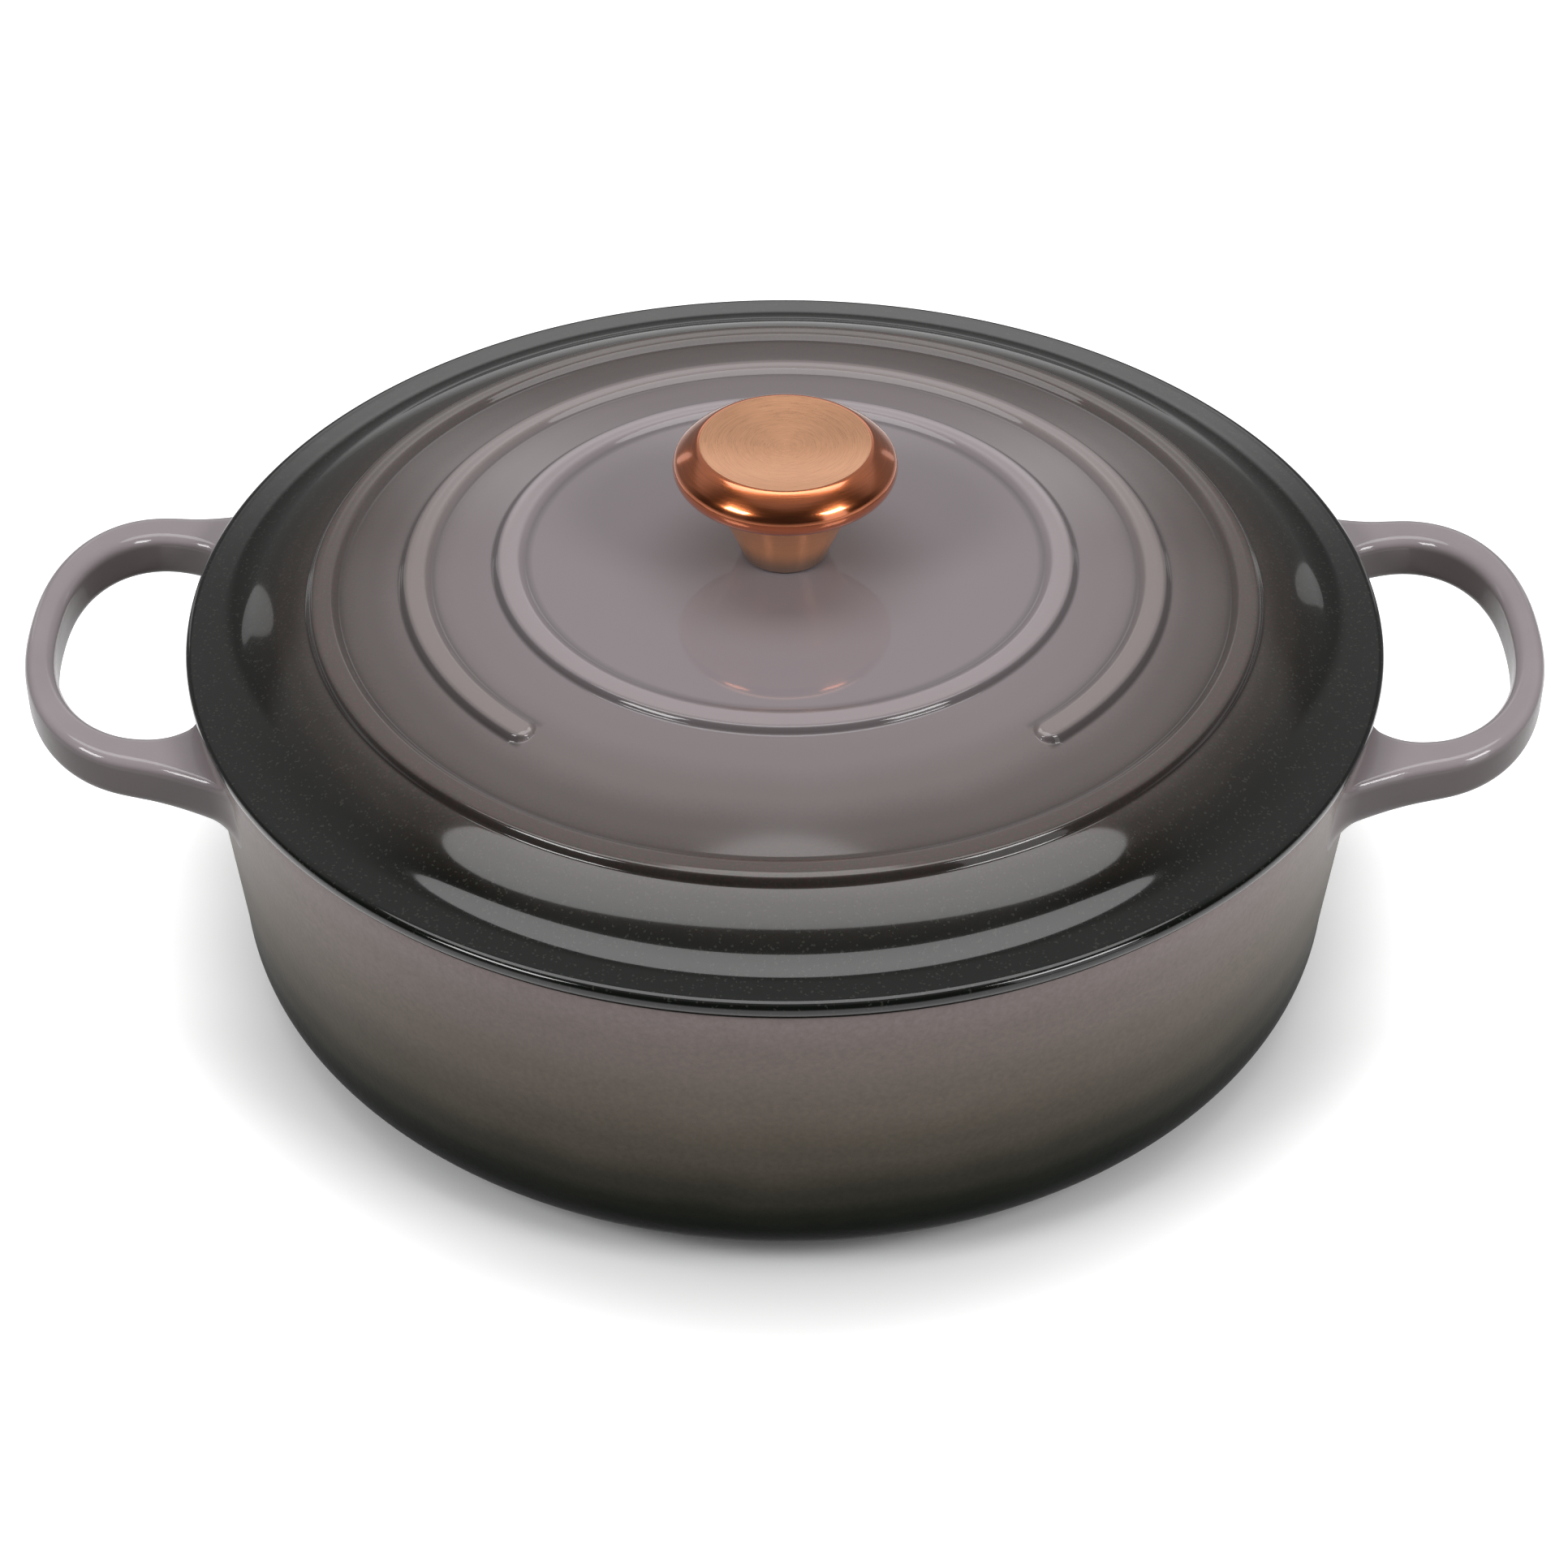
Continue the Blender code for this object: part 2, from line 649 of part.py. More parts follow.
def washer_profile(outer, thickness):
    return [
        (BORE_RADIUS, 0.0),
        (outer - WASHER_BEVEL, 0.0),
        (outer, -WASHER_BEVEL),
        (outer, WASHER_BEVEL - thickness),
        (outer - WASHER_BEVEL, -thickness),
        (BORE_RADIUS, -thickness),
    ]


def build_spring_washer(parts, cutters, finish):
    profile = washer_profile(SPRING_WASHER_RADIUS, SPRING_WASHER_THICKNESS)
    washer = lathe("spring_washer", profile, SMALL_STEPS, parts, finish, closed=True)
    size = (SPRING_WASHER_SPLIT, SPRING_WASHER_RADIUS, 4 * SPRING_WASHER_THICKNESS)
    centre = (0.0, (SPRING_WASHER_RADIUS + BORE_RADIUS) / 2, -SPRING_WASHER_THICKNESS / 2)
    join(washer, block("spring_washer_split", size, centre, SPLIT_LEAN, cutters), "DIFFERENCE")
    return washer


def build_screw(shank, parts, cutters, finish):
    """A round-headed screw with a cross slot, its shank pointing up."""
    crown = arc(
        (0.0, -SCREW_HEAD_BAND),
        (SCREW_HEAD_RADIUS, SCREW_HEAD_HEIGHT - SCREW_HEAD_BAND),
        0, -90, SCREW_CROWN_FACETS,
    )
    profile = [
        (0.0, shank),
        (SCREW_RADIUS - SCREW_CHAMFER, shank),
        (SCREW_RADIUS, shank - SCREW_CHAMFER),
        (SCREW_RADIUS, 0.0),
        (SCREW_HEAD_RADIUS, 0.0),
        *crown,
    ]
    screw = lathe("knob_screw", profile, SMALL_STEPS, parts, finish)
    across = (SCREW_SLOT_LENGTH, SCREW_SLOT_WIDTH, 2 * SCREW_SLOT_DEPTH)
    along = (SCREW_SLOT_WIDTH, SCREW_SLOT_LENGTH, 2 * SCREW_SLOT_DEPTH)
    for name, size in (("screw_slot_x", across), ("screw_slot_y", along)):
        slot = block(name, size, (0.0, 0.0, -SCREW_HEAD_HEIGHT), 0.0, cutters)
        join(screw, slot, "DIFFERENCE")
    return screw


def build_fastening(lid, parts, cutters, steel, spring_steel):
    """Flat washer, spring washer and screw, one under the other, from the lid's underside."""
    level = lid_height(BORE_RADIUS) - LID_WALL - SEAT_GAP
    profile = washer_profile(FLAT_WASHER_RADIUS, FLAT_WASHER_THICKNESS)
    washer = lathe("flat_washer", profile, SMALL_STEPS, parts, steel, closed=True)
    seat(washer, lid, level)
    level -= FLAT_WASHER_THICKNESS + SEAT_GAP
    seat(build_spring_washer(parts, cutters, spring_steel), lid, level)
    level -= SPRING_WASHER_THICKNESS + SEAT_GAP
    shank = KNOB_SEAT + SCREW_GRIP - level
    seat(build_screw(shank, parts, cutters, steel), lid, level)


def main():
    clear_scene()
    parts = new_collection(OBJECT_NAME)
    cutters = new_collection(OBJECT_NAME + "_cutters")
    pot_enamel = material("pot_enamel", (0.16, 0.13, 0.125), 0.22, coat=0.5)
    lid_enamel = material("lid_enamel", (0.14, 0.12, 0.12), 0.15, coat=0.6)
    brushed_copper = material("brushed_copper", (0.75, 0.33, 0.19), 0.28, metallic=1.0)
    stem_copper = material("stem_copper", (0.72, 0.34, 0.21), 0.22, metallic=1.0)
    steel = material("screw_steel", (0.55, 0.55, 0.54), 0.35, metallic=1.0)
    spring_steel = material("spring_steel", (0.35, 0.35, 0.36), 0.4, metallic=1.0)
    pot = build_pot(parts, cutters, pot_enamel)
    lid = build_lid(parts, cutters, lid_enamel)
    seat(lid, pot, POT_HEIGHT + SEAT_GAP)
    build_knob(lid, parts, brushed_copper, stem_copper)
    build_fastening(lid, parts, cutters, steel, spring_steel)


main()
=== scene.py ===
"""Looks of a wide round casserole in enamelled cast iron: a grey pot that darkens to its foot,
a glossy ringed lid that darkens to its rim, and a turned copper knob. Metres, +Z up."""

import math
from functools import cached_property

import bpy
import numpy as np
from mathutils import Matrix, Vector


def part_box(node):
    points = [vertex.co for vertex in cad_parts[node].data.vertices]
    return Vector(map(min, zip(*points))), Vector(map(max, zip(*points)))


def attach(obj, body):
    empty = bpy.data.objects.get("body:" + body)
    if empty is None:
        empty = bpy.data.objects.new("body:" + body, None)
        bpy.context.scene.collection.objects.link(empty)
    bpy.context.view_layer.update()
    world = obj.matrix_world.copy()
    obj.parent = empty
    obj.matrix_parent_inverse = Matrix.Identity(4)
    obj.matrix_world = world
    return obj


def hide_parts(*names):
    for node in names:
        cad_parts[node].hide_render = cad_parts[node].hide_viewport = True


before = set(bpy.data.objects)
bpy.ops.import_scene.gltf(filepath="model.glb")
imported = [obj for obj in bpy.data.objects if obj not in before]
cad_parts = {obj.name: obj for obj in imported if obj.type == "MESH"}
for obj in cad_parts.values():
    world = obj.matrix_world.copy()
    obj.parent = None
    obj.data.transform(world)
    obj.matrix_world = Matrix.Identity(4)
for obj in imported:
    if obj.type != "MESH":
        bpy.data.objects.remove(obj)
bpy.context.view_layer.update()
LID_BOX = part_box("lid")
POT_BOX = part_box("pot_body")
HEAD_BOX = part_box("knob_head")
STEM_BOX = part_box("knob_stem")

# Places read from the frame
LID_RADIUS = LID_BOX[1].y
POT_RIM_RADIUS = POT_BOX[1].y
HANDLE_TIP = POT_BOX[1].x
LIP_FOOT = LID_BOX[0].z
STEM_FOOT = STEM_BOX[0].z
HEAD_FOOT = HEAD_BOX[0].z
HEAD_TOP = HEAD_BOX[1].z

# Pot
POT_HEIGHT = 0.0958
WALL_FOOT_RADIUS = 0.1472
CORNER_HEIGHT = 0.0235
CORNER_POWER = 2.4
BASE_RADIUS = 0.1070
POT_WALL = 0.0033
POT_FLOOR = 0.0039
POT_RIM_ROUND = 0.0011
POT_CAP_RADIUS = 0.0005

# Loop handles
HANDLE_DEPTH = 0.0356
HANDLE_HALF_WIDTH = 0.0552
HANDLE_POWER = 2.25
HOLE_DEPTH = 0.0266
HOLE_HALF_WIDTH = 0.0435
HOLE_POWER = 2.3
HANDLE_BAR = 0.0079
HANDLE_THICKNESS = 0.0128
HANDLE_DROP = 0.0124
HANDLE_TILT = math.radians(8.4)
HANDLE_EDGE_ROUND = 0.0032
ROUNDING_SHARE = 0.45
HANDLE_CENTRE = HANDLE_TIP - HANDLE_DEPTH
HOLE_CENTRE = HANDLE_TIP - HANDLE_BAR - HOLE_DEPTH

# Handle roots: a wide swelling, then a small fillet that ends just under the wall's surface
ROOT_REACH = 0.0240
ROOT_WIDENING = 0.0080
HOLE_NARROWING = 0.0030
ROOT_DEEPENING = 0.0018
ROOT_RISE = 0.0012
ROOT_ROUNDING = 0.0040
ROOT_SINK = 0.0010
ROOT_FILLET = 0.0040
TOP_FILLET = 0.0013
FILLET_SWEEP = 0.99
FILLET_SINK = 0.00015

# Lid
SEAT_GAP = 0.0003
LID_SEAT = POT_HEIGHT + SEAT_GAP
FLANGE_THICKNESS = 0.0042
FLANGE_WIDTH = 0.0080
CREASE_WIDTH = 0.0090
SHOULDER_WIDTH = 0.0150
LID_EDGE_DEPTH = 0.0028
LID_EDGE_POWER = 2.6
LID_WALL = 0.0033
FLANGE_SLOPE = math.radians(4.0)
SHOULDER_SLOPE = math.radians(27.0)
SHOULDER_TOP_SLOPE = math.radians(15.5)
SHOULDER_TURN = 0.0008
DOME_SLOPE = math.radians(9.4)
CROWN_SLOPE = math.radians(1.8)
LIP_CLEARANCE = 0.0010
LIP_RADIUS = POT_RIM_RADIUS - POT_WALL - LIP_CLEARANCE
LIP_WALL = 0.0036
LIP_ROUND = 0.0007
BORE_RADIUS = 0.0028
PAD_RADIUS = 0.0030
PAD_STAND = 0.0005
PAD_COUNT = 3
CREASE_RADIUS = LID_RADIUS - FLANGE_WIDTH
SHOULDER_END = CREASE_RADIUS - CREASE_WIDTH
SHOULDER_START = SHOULDER_END - SHOULDER_WIDTH

# Raised rings: a soft inner side, a broad top and a steep outer side
RING_PITCH = 0.0242
RING_WIDTH = 0.0088
RING_HEIGHTS = (0.0012, 0.0017, 0.0019)
RING_SHOULDER = 0.88
RING_SHOULDER_END = 0.34
RING_TOP_START = 0.68
RING_TOP_END = 0.83
RING_GAP_ANGLE = math.radians(40.5)
NOSE_POWER = 4
RING_OUTER = [SHOULDER_START - k * RING_PITCH for k in (2, 1, 0)]
RING_INNER = [radius - RING_WIDTH for radius in RING_OUTER]
OPEN_RING = (RING_INNER[1] + RING_OUTER[1]) / 2

# A ring's top painted paler, for thin enamel and painted light; its feet and outer side painted
# darker, for pooled enamel and painted shade
TOP_THINNING_AND_LIGHT = 0.9
FOOT_POOLING_AND_SHADE = 0.7
SIDE_POOLING_AND_SHADE = 1.2

# Knob
STEM_FOOT_RADIUS = 0.0114
STEM_TOP_RADIUS = 0.0195
STEM_HEIGHT = 0.0183
STEM_HOLLOWING = 0.0006
STEM_FOOT_ROUND = 0.0008
SPIGOT_RADIUS = 0.0080
SPIGOT_HEIGHT = 0.0060
SPIGOT_CLEARANCE = 0.0003
THREAD_DEPTH = 0.0143
KNOB_CAP_RADIUS = 0.0002
DISH_RADIUS = 0.0215
DISH_DEPTH = 0.0014
DISH_EDGE_SLOPE = math.atan(2 * DISH_DEPTH / DISH_RADIUS)

# Bends of the knob's shoulder: radius, slope at the end and facets
HEAD_BENDS = (
    (0.0026, math.radians(30.0), 14),
    (0.0210, math.radians(45.0), 10),
    (0.00432, math.radians(90.0), 20),
    (0.0042, math.radians(150.0), 20),
)

# Rows and columns of the meshes
POT_STEPS = 300
INNER_CORNER_FACETS = 28
INNER_WALL_ROWS = 12
RIM_FACETS = 6
OUTER_WALL_ROWS = 16
CORNER_FACETS = 36
BAR_EDGE_FACETS = 8
BAR_FLAT_FACETS = 5
BAR_SIDE_FACETS = 3
ROOT_STATIONS = 34
ROOT_CROWDING = 1.6
LOOP_STATIONS = 40
HALVINGS = 40
LID_STEPS = 360
NOSE_STEPS = 30
NOSE_STEP = math.radians(0.15)
CROWN_ROWS = 40
RING_ROWS = 40
VALLEY_ROWS = 20
SHOULDER_ROWS = 40
FLANGE_ROWS = 6
LID_EDGE_FACETS = 22
LIP_FACETS = 5
UNDERSIDE_ROWS = 30
PAD_STEPS = 28
PAD_FACETS = 16
KNOB_STEPS = 160
STEM_ROWS = 24
STEM_FOOT_FACETS = 6
DISH_ROWS = 30
HEAD_FOOT_ROWS = 6

# Camera: the photograph is 1932 pixels square
FOCAL_PIXELS = 4592
IMAGE_PIXELS = 1932
SENSOR = 36.0
CAMERA_PLACE = (0.0, -0.7924, 0.6731)
CAMERA_DOWN = math.radians(38.57)
CAMERA_ROLL = math.radians(0.12)
CAMERA_SHIFT = -0.7 / IMAGE_PIXELS

# Floor: what the camera sees, what it gives as fill, and how bright mirrors see it
FLOOR_HALF = 6.0
FLOOR_WHITE = (0.80, 0.80, 0.80, 1.0)
FLOOR_FILL = (0.35, 0.35, 0.35, 1.0)
FLOOR_GLOW = 0.95
SHADOW_REACH = 0.050
NEAR_FLOOR_MIRRORED = 0.62
FAR_FLOOR_MIRRORED = 0.16

# Room, as mirrors see it, and its fill light
FRONT_LIGHT = 0.04
CEILING_LIGHT = 0.28
BACK_LIGHT = 0.24
UPPER_BACK_LIGHT = 0.48
BACK_CARD_LIGHT = 1.4
FILL_LIGHT = 0.25

# An area light of this many watts a square metre is seen at radiance 1
WATTS_AT_WHITE = 4
LIT_MIDDLE = (0.0, 0.0, 0.10)

# Colours, as linear light. The ramps run from the lid's middle to its rim, and up the pot's wall
LID_COLOURS = (
    (0.40, (0.270, 0.235, 0.248)),
    (0.54, (0.235, 0.202, 0.206)),
    (0.61, (0.195, 0.166, 0.164)),
    (0.69, (0.125, 0.104, 0.103)),
    (0.77, (0.078, 0.062, 0.059)),
    (0.835, (0.026, 0.020, 0.017)),
    (0.87, (0.009, 0.007, 0.005)),
    (0.90, (0.004, 0.004, 0.003)),
    (1.00, (0.005, 0.006, 0.005)),
)
POT_COLOURS = (
    (0.02, (0.002, 0.003, 0.002)),
    (0.19, (0.003, 0.005, 0.003)),
    (0.24, (0.014, 0.016, 0.011)),
    (0.31, (0.044, 0.041, 0.031)),
    (0.46, (0.116, 0.099, 0.077)),
    (0.66, (0.190, 0.155, 0.128)),
    (0.84, (0.246, 0.200, 0.180)),
    (0.97, (0.300, 0.246, 0.238)),
)
GLAZE_TINTS = ((0.35, (0.5, 1.1, 0.8)), (0.65, (1.5, 0.9, 0.9)))
SPECK_GREY = (0.20, 0.20, 0.17, 1.0)
RIM_GREY = (0.03, 0.03, 0.028, 1.0)
SAND = (0.70, 0.62, 0.50, 1.0)
HANDLE_PALE = (0.36, 0.315, 0.330, 1.0)
HANDLE_MAUVE = (0.300, 0.262, 0.272, 1.0)
# Painted shade, for the handles' sides and undersides
HANDLE_SIDE_SHADE = (0.115, 0.096, 0.094, 1.0)
HANDLE_ROOT = (0.270, 0.225, 0.218, 1.0)
HANDLE_LOW = (0.15, 0.13, 0.12, 1.0)
BRUSHED_COPPER = (0.95, 0.49, 0.28, 1.0)
POLISHED_COPPER = (0.78, 0.21, 0.070, 1.0)
STEM_COPPER = (1.00, 0.48, 0.24, 1.0)
DULL_COPPER = (0.36, 0.25, 0.19, 1.0)
SCREW_STEEL = (0.60, 0.60, 0.58)
SPRING_STEEL = (0.34, 0.34, 0.35)


class Value:
    """A shader value that takes part in Python sums and products."""

    def __init__(self, finish, socket):
        self.finish = finish
        self.socket = socket

    def sum(self, operation, first, second):
        return self.finish.node("ShaderNodeMath", {"operation": operation}, {0: first, 1: second})

    def __add__(self, other):
        return self.sum("ADD", self, other)

    def __sub__(self, other):
        return self.sum("SUBTRACT", self, other)

    def __rsub__(self, other):
        return self.sum("SUBTRACT", other, self)

    def __mul__(self, other):
        return self.sum("MULTIPLY", self, other)

    def __truediv__(self, other):
        return self.sum("DIVIDE", self, other)

    __radd__ = __add__
    __rmul__ = __mul__

    def above(self, level):
        """1 above a level, 0 elsewhere."""
        return self.sum("GREATER_THAN", self, level)

    def fade(self, low, high):
        """0 below low, 1 above high, and a smooth change between them."""
        settings = {"interpolation_type": "SMOOTHSTEP"}
        sockets = {"Value": self, "From Min": low, "From Max": high}
        return self.finish.node("ShaderNodeMapRange", settings, sockets)


class Finish:
    """One material, or the world: its nodes, and the shader that they feed."""

    def __init__(self, name, tree=None):
        if tree is None:
            self.material = bpy.data.materials.new(name)
            self.material.use_nodes = True
            tree = self.material.node_tree
        self.tree = tree
        self.tree.nodes.clear()

    @cached_property
    def place(self):
        return self.node("ShaderNodeTexCoord", output="Object")

    @cached_property
    def normal(self):
        return self.node("ShaderNodeTexCoord", output="Normal")

    def node(self, kind, settings=None, sockets=None, output=0):
        made = self.tree.nodes.new(kind)
        for name, setting in (settings or {}).items():
            if name == "stops":
                self.set_stops(made.color_ramp, setting)
            else:
                setattr(made, name, setting)
        for name, given in (sockets or {}).items():
            if isinstance(given, Value):
                self.tree.links.new(given.socket, made.inputs[name])
            else:
                made.inputs[name].default_value = given
        return Value(self, made.outputs[output])

    @staticmethod
    def set_stops(ramp, stops):
        ramp.interpolation = "EASE"
        while len(ramp.elements) > 1:
            ramp.elements.remove(ramp.elements[-1])
        ramp.elements[0].position = stops[0][0]
        ramp.elements[0].color = (*stops[0][1], 1.0)
        for place, colour in stops[1:]:
            ramp.elements.new(place).color = (*colour, 1.0)

    def vectors(self, operation, first, second, output=0):
        settings = {"operation": operation}
        return self.node("ShaderNodeVectorMath", settings, {0: first, 1: second}, output)

    def part_of(self, vector, axis):
        return self.node("ShaderNodeSeparateXYZ", None, {0: vector}, axis)

    def off_axis(self):
        """The way from the object's upright axis to the surface."""
        return self.vectors("MULTIPLY", self.place, (1.0, 1.0, 0.0))

    def radius(self):
        settings = {"operation": "LENGTH"}
        return self.node("ShaderNodeVectorMath", settings, {0: self.off_axis()}, "Value")

    def height(self):
        return self.part_of(self.place, "Z")

    def upward(self):
        """1 where the surface faces up, 0 on an upright wall and -1 where it faces down."""
        return self.part_of(self.normal, "Z")

    def noise(self, size, detail=2.0, roughness=0.5, stretch=(1.0, 1.0, 1.0)):
        """Cloudy variation around 0.5, with features of a real size."""
        place = self.vectors("MULTIPLY", self.place, stretch)
        sockets = {"Vector": place, "Scale": 1 / size, "Detail": detail, "Roughness": roughness}
        return self.node("ShaderNodeTexNoise", None, sockets, "Fac")

    def specks(self, size, share):
        """1 on a share of small random cells, 0 elsewhere."""
        sockets = {"Vector": self.place, "Scale": 1 / size}
        cells = self.node("ShaderNodeTexVoronoi", None, sockets, "Color")
        return self.part_of(cells, "X").above(1 - share)

    def ramp(self, value, stops):
        return self.node("ShaderNodeValToRGB", {"stops": stops}, {"Fac": value}, "Color")

    def mix(self, factor, first, second, kind="MIX"):
        """Two colours, mixed or multiplied."""
        settings = {"data_type": "RGBA", "blend_type": kind}
        sockets = {0: factor, 6: first, 7: second}
        return self.node("ShaderNodeMix", settings, sockets, 2)

    def scaled(self, colour, factor):
        """A colour made lighter or darker by a factor."""
        sockets = {0: colour, "Scale": factor}
        return self.node("ShaderNodeVectorMath", {"operation": "SCALE"}, sockets)

    def bump(self, height, depth, below=None):
        sockets = {"Height": height, "Distance": depth}
        if below:
            sockets["Normal"] = below
        return self.node("ShaderNodeBump", None, sockets)

    def ray(self, kind):
        return self.node("ShaderNodeLightPath", output=f"Is {kind} Ray")

    def shader(self, **sockets):
        """The finished material. A socket is named with _ for each space."""
        named = {name.replace("_", " "): given for name, given in sockets.items()}
        made = self.node("ShaderNodeBsdfPrincipled", None, named)
        self.send(made, "ShaderNodeOutputMaterial")
        return self.material

    def send(self, surface, kind):
        output = self.tree.nodes.new(kind)
        self.tree.links.new(surface.socket, output.inputs["Surface"])


# Finishes


def lid_enamel():
    """Glossy enamel, mauve grey in the middle and green-black at the rim, full of fine specks."""
    finish = Finish("lid_enamel")
    radius = finish.radius()
    cloud = finish.noise(0.030, 3.0)
    grain = finish.noise(0.0007)
    share = radius / LID_RADIUS + 0.03 * (cloud - 0.5) + 0.02 * (grain - 0.5)
    colour = finish.ramp(share, LID_COLOURS)
    dark = radius.fade(0.095, 0.140)
    tints = finish.ramp(finish.noise(0.0009, 1.0), GLAZE_TINTS)
    mottled = finish.mix(0.35 * dark, colour, tints, "MULTIPLY")
    specks = finish.specks(0.0005, 0.06) * dark
    speckled = finish.mix(0.10 * specks, mottled, SPECK_GREY)
    # Pooled enamel and painted shade darken the rings' feet and outer sides; thin enamel and
    # painted light pale their tops.
    pooling = finish.node("ShaderNodeAttribute", {"attribute_name": "pooling"}, None, "Fac")
    pooled_and_shaded = finish.scaled(speckled, 1.0 + 0.42 * pooling)
    inside = (0.0 - finish.upward()).above(0.0) * (LIP_RADIUS - radius).above(0.0)
    peel = finish.bump(finish.noise(0.0060), 0.00004)
    return finish.shader(
        Base_Color=finish.mix(inside, pooled_and_shaded, SAND),
        Roughness=0.50 + 0.05 * grain - 0.40 * radius.fade(0.108, 0.128),
        Specular_IOR_Level=0.12,
        Normal=finish.bump(finish.noise(0.0012), 0.000006, peel),
        Coat_Weight=1.0,
        Coat_Roughness=0.05,
    )


def pot_enamel():
    """Finely pitted enamel that darkens from the rim to the foot. Sand inside, and a bare rim."""
    finish = Finish("pot_enamel")
    height = finish.height()
    cloud = finish.noise(0.022, 3.0)
    level = height / POT_HEIGHT + 0.06 * (cloud - 0.5)
    mottle = finish.noise(0.0016, 3.0, 0.65)
    outside = finish.scaled(finish.ramp(level, POT_COLOURS), 1.0 + 0.5 * (mottle - 0.5))
    outward = finish.vectors("DOT_PRODUCT", finish.normal, finish.off_axis(), "Value")
    floor = finish.upward().above(0.3) * (0.05 - height).above(0.0)
    side = (0.0 - outward).above(0.001) * height.above(0.5 * POT_FLOOR)
    lined = finish.mix((floor + side).above(0.5), outside, SAND)
    rim = height.above(POT_HEIGHT - 0.6 * POT_RIM_ROUND)
    peel = finish.bump(finish.noise(0.0055), 0.00006)
    return finish.shader(
        Base_Color=finish.mix(rim, lined, RIM_GREY),
        Roughness=0.34 + 0.10 * mottle,
        Specular_IOR_Level=0.05,
        Normal=finish.bump(finish.noise(0.0016, 2.0, 0.6), 0.00006, peel),
        Coat_Weight=0.35 * level.fade(0.25, 0.95) + 0.9 * (1.0 - level.fade(0.08, 0.15)),
        Coat_Roughness=0.20,
    )


def handle_enamel():
    """The pale end of the pot's enamel. It is glossy on top, with painted shade on the bar's sides
    and underside, and like the wall where it meets it."""
    finish = Finish("handle_enamel")
    upward = finish.upward()
    # Painted shade: the bar's steep sides and underside get a darker colour
    steep = 1.0 - upward.fade(0.05, 0.70)
    under = (0.0 - upward).fade(0.2, 0.9)
    flank = 1.0 - upward.fade(0.0, 0.35)
    off_wall = finish.radius().fade(0.1505, 0.1570)
    top = finish.mix(finish.noise(0.020, 3.0), HANDLE_PALE, HANDLE_MAUVE)
    shaded = finish.mix(0.75 * steep + 0.25 * under, top, HANDLE_SIDE_SHADE)
    joined = finish.mix(off_wall, HANDLE_ROOT, shaded)
    return finish.shader(
        Base_Color=finish.mix(finish.height().fade(0.060, 0.080), HANDLE_LOW, joined),
        Roughness=0.28,
        Specular_IOR_Level=0.10,
        Normal=finish.bump(finish.noise(0.0050), 0.00005),
        Coat_Weight=(0.35 + 0.65 * off_wall) * (1.0 - 0.7 * flank),
        Coat_Roughness=0.035,
    )


def turned_marks(finish, groove):
    """Fine broken lines round the axis, as a lathe and a polishing pad leave them."""
    sides = {0: finish.part_of(finish.place, "Y"), 1: finish.part_of(finish.place, "X")}
    angle = finish.node("ShaderNodeMath", {"operation": "ARCTAN2"}, sides)
    along = angle * 2.5 * groove
    parts = {0: finish.radius(), 1: finish.height(), 2: along}
    line = finish.node("ShaderNodeCombineXYZ", None, parts)
    sockets = {"Vector": line, "Scale": 1 / groove, "Detail": 3.0, "Roughness": 0.7}
    return finish.node("ShaderNodeTexNoise", None, sockets, "Fac")


def head_copper():
    """A pale brushed dish in a deeper polished shoulder."""
    finish = Finish("head_copper")
    marks = turned_marks(finish, 0.00022)
    worn = finish.noise(0.009)
    dish = (DISH_RADIUS + 0.0004 - finish.radius()).above(0.0)
    copper = finish.mix(dish, POLISHED_COPPER, BRUSHED_COPPER)
    return finish.shader(
        Base_Color=finish.scaled(copper, 1.0 + 0.8 * (marks - 0.5)),
        Metallic=1.0,
        Roughness=0.19 + 0.10 * dish + 0.10 * (marks - 0.5) + 0.04 * (worn - 0.5),
        Anisotropic=0.3,
        Anisotropic_Rotation=0.25,
        Normal=finish.bump(marks, 0.000004),
        Coat_Weight=1.0 - 0.8 * dish,
        Coat_IOR=1.65,
        Coat_Roughness=0.07,
    )


def stem_copper():
    """Satin copper, duller and greyer at the foot, where it meets the enamel."""
    finish = Finish("stem_copper")
    marks = turned_marks(finish, 0.0004)
    foot = 1.0 - (finish.height() - STEM_FOOT).fade(0.0005, 0.0090)
    copper = finish.mix(foot, STEM_COPPER, DULL_COPPER)
    return finish.shader(
        Base_Color=finish.scaled(copper, 1.0 + 0.3 * (marks - 0.5)),
        Metallic=0.6,
        Roughness=0.24 + 0.10 * (marks - 0.5),
        Normal=finish.bump(marks, 0.000002),
        Coat_Weight=0.3,
        Coat_Roughness=0.15,
    )


def plain_steel(name, colour, roughness):
    """Zinc-bright steel with faint turned marks and rubbed patches."""
    finish = Finish(name)
    marks = finish.noise(0.0004, 2.0, 0.5, (1.0, 1.0, 3.0))
    rubbed = [0.8 * part for part in colour]
    return finish.shader(
        Base_Color=finish.mix(finish.noise(0.0025), (*colour, 1.0), (*rubbed, 1.0)),
        Metallic=1.0,
        Roughness=roughness + 0.15 * (marks - 0.5),
        Normal=finish.bump(marks, 0.00001),
    )


# Shapes


def arc(centre, radii, start, end, count, power=2.0):
    """Points from angle start to end, in degrees, on an ellipse or a squarer superellipse."""
    points = []
    for k in range(count + 1):
        angle = math.radians(start + (end - start) * k / count)
        across = math.copysign(abs(math.cos(angle)) ** (2 / power), math.cos(angle))
        along = math.copysign(abs(math.sin(angle)) ** (2 / power), math.sin(angle))
        points.append((centre[0] + radii[0] * across, centre[1] + radii[1] * along))
    return points


def spaced(start, end, count):
    """Even steps from start to end, without the start."""
    return [start + (end - start) * k / count for k in range(1, count + 1)]


def between(start, end, share):
    return (start[0] + (end[0] - start[0]) * share, start[1] + (end[1] - start[1]) * share)


def smooth(value, low, high):
    """0 below low, 1 above high, and a smooth change between them."""
    share = np.clip((value - low) / (high - low), 0.0, 1.0)
    return share * share * (3 - 2 * share)


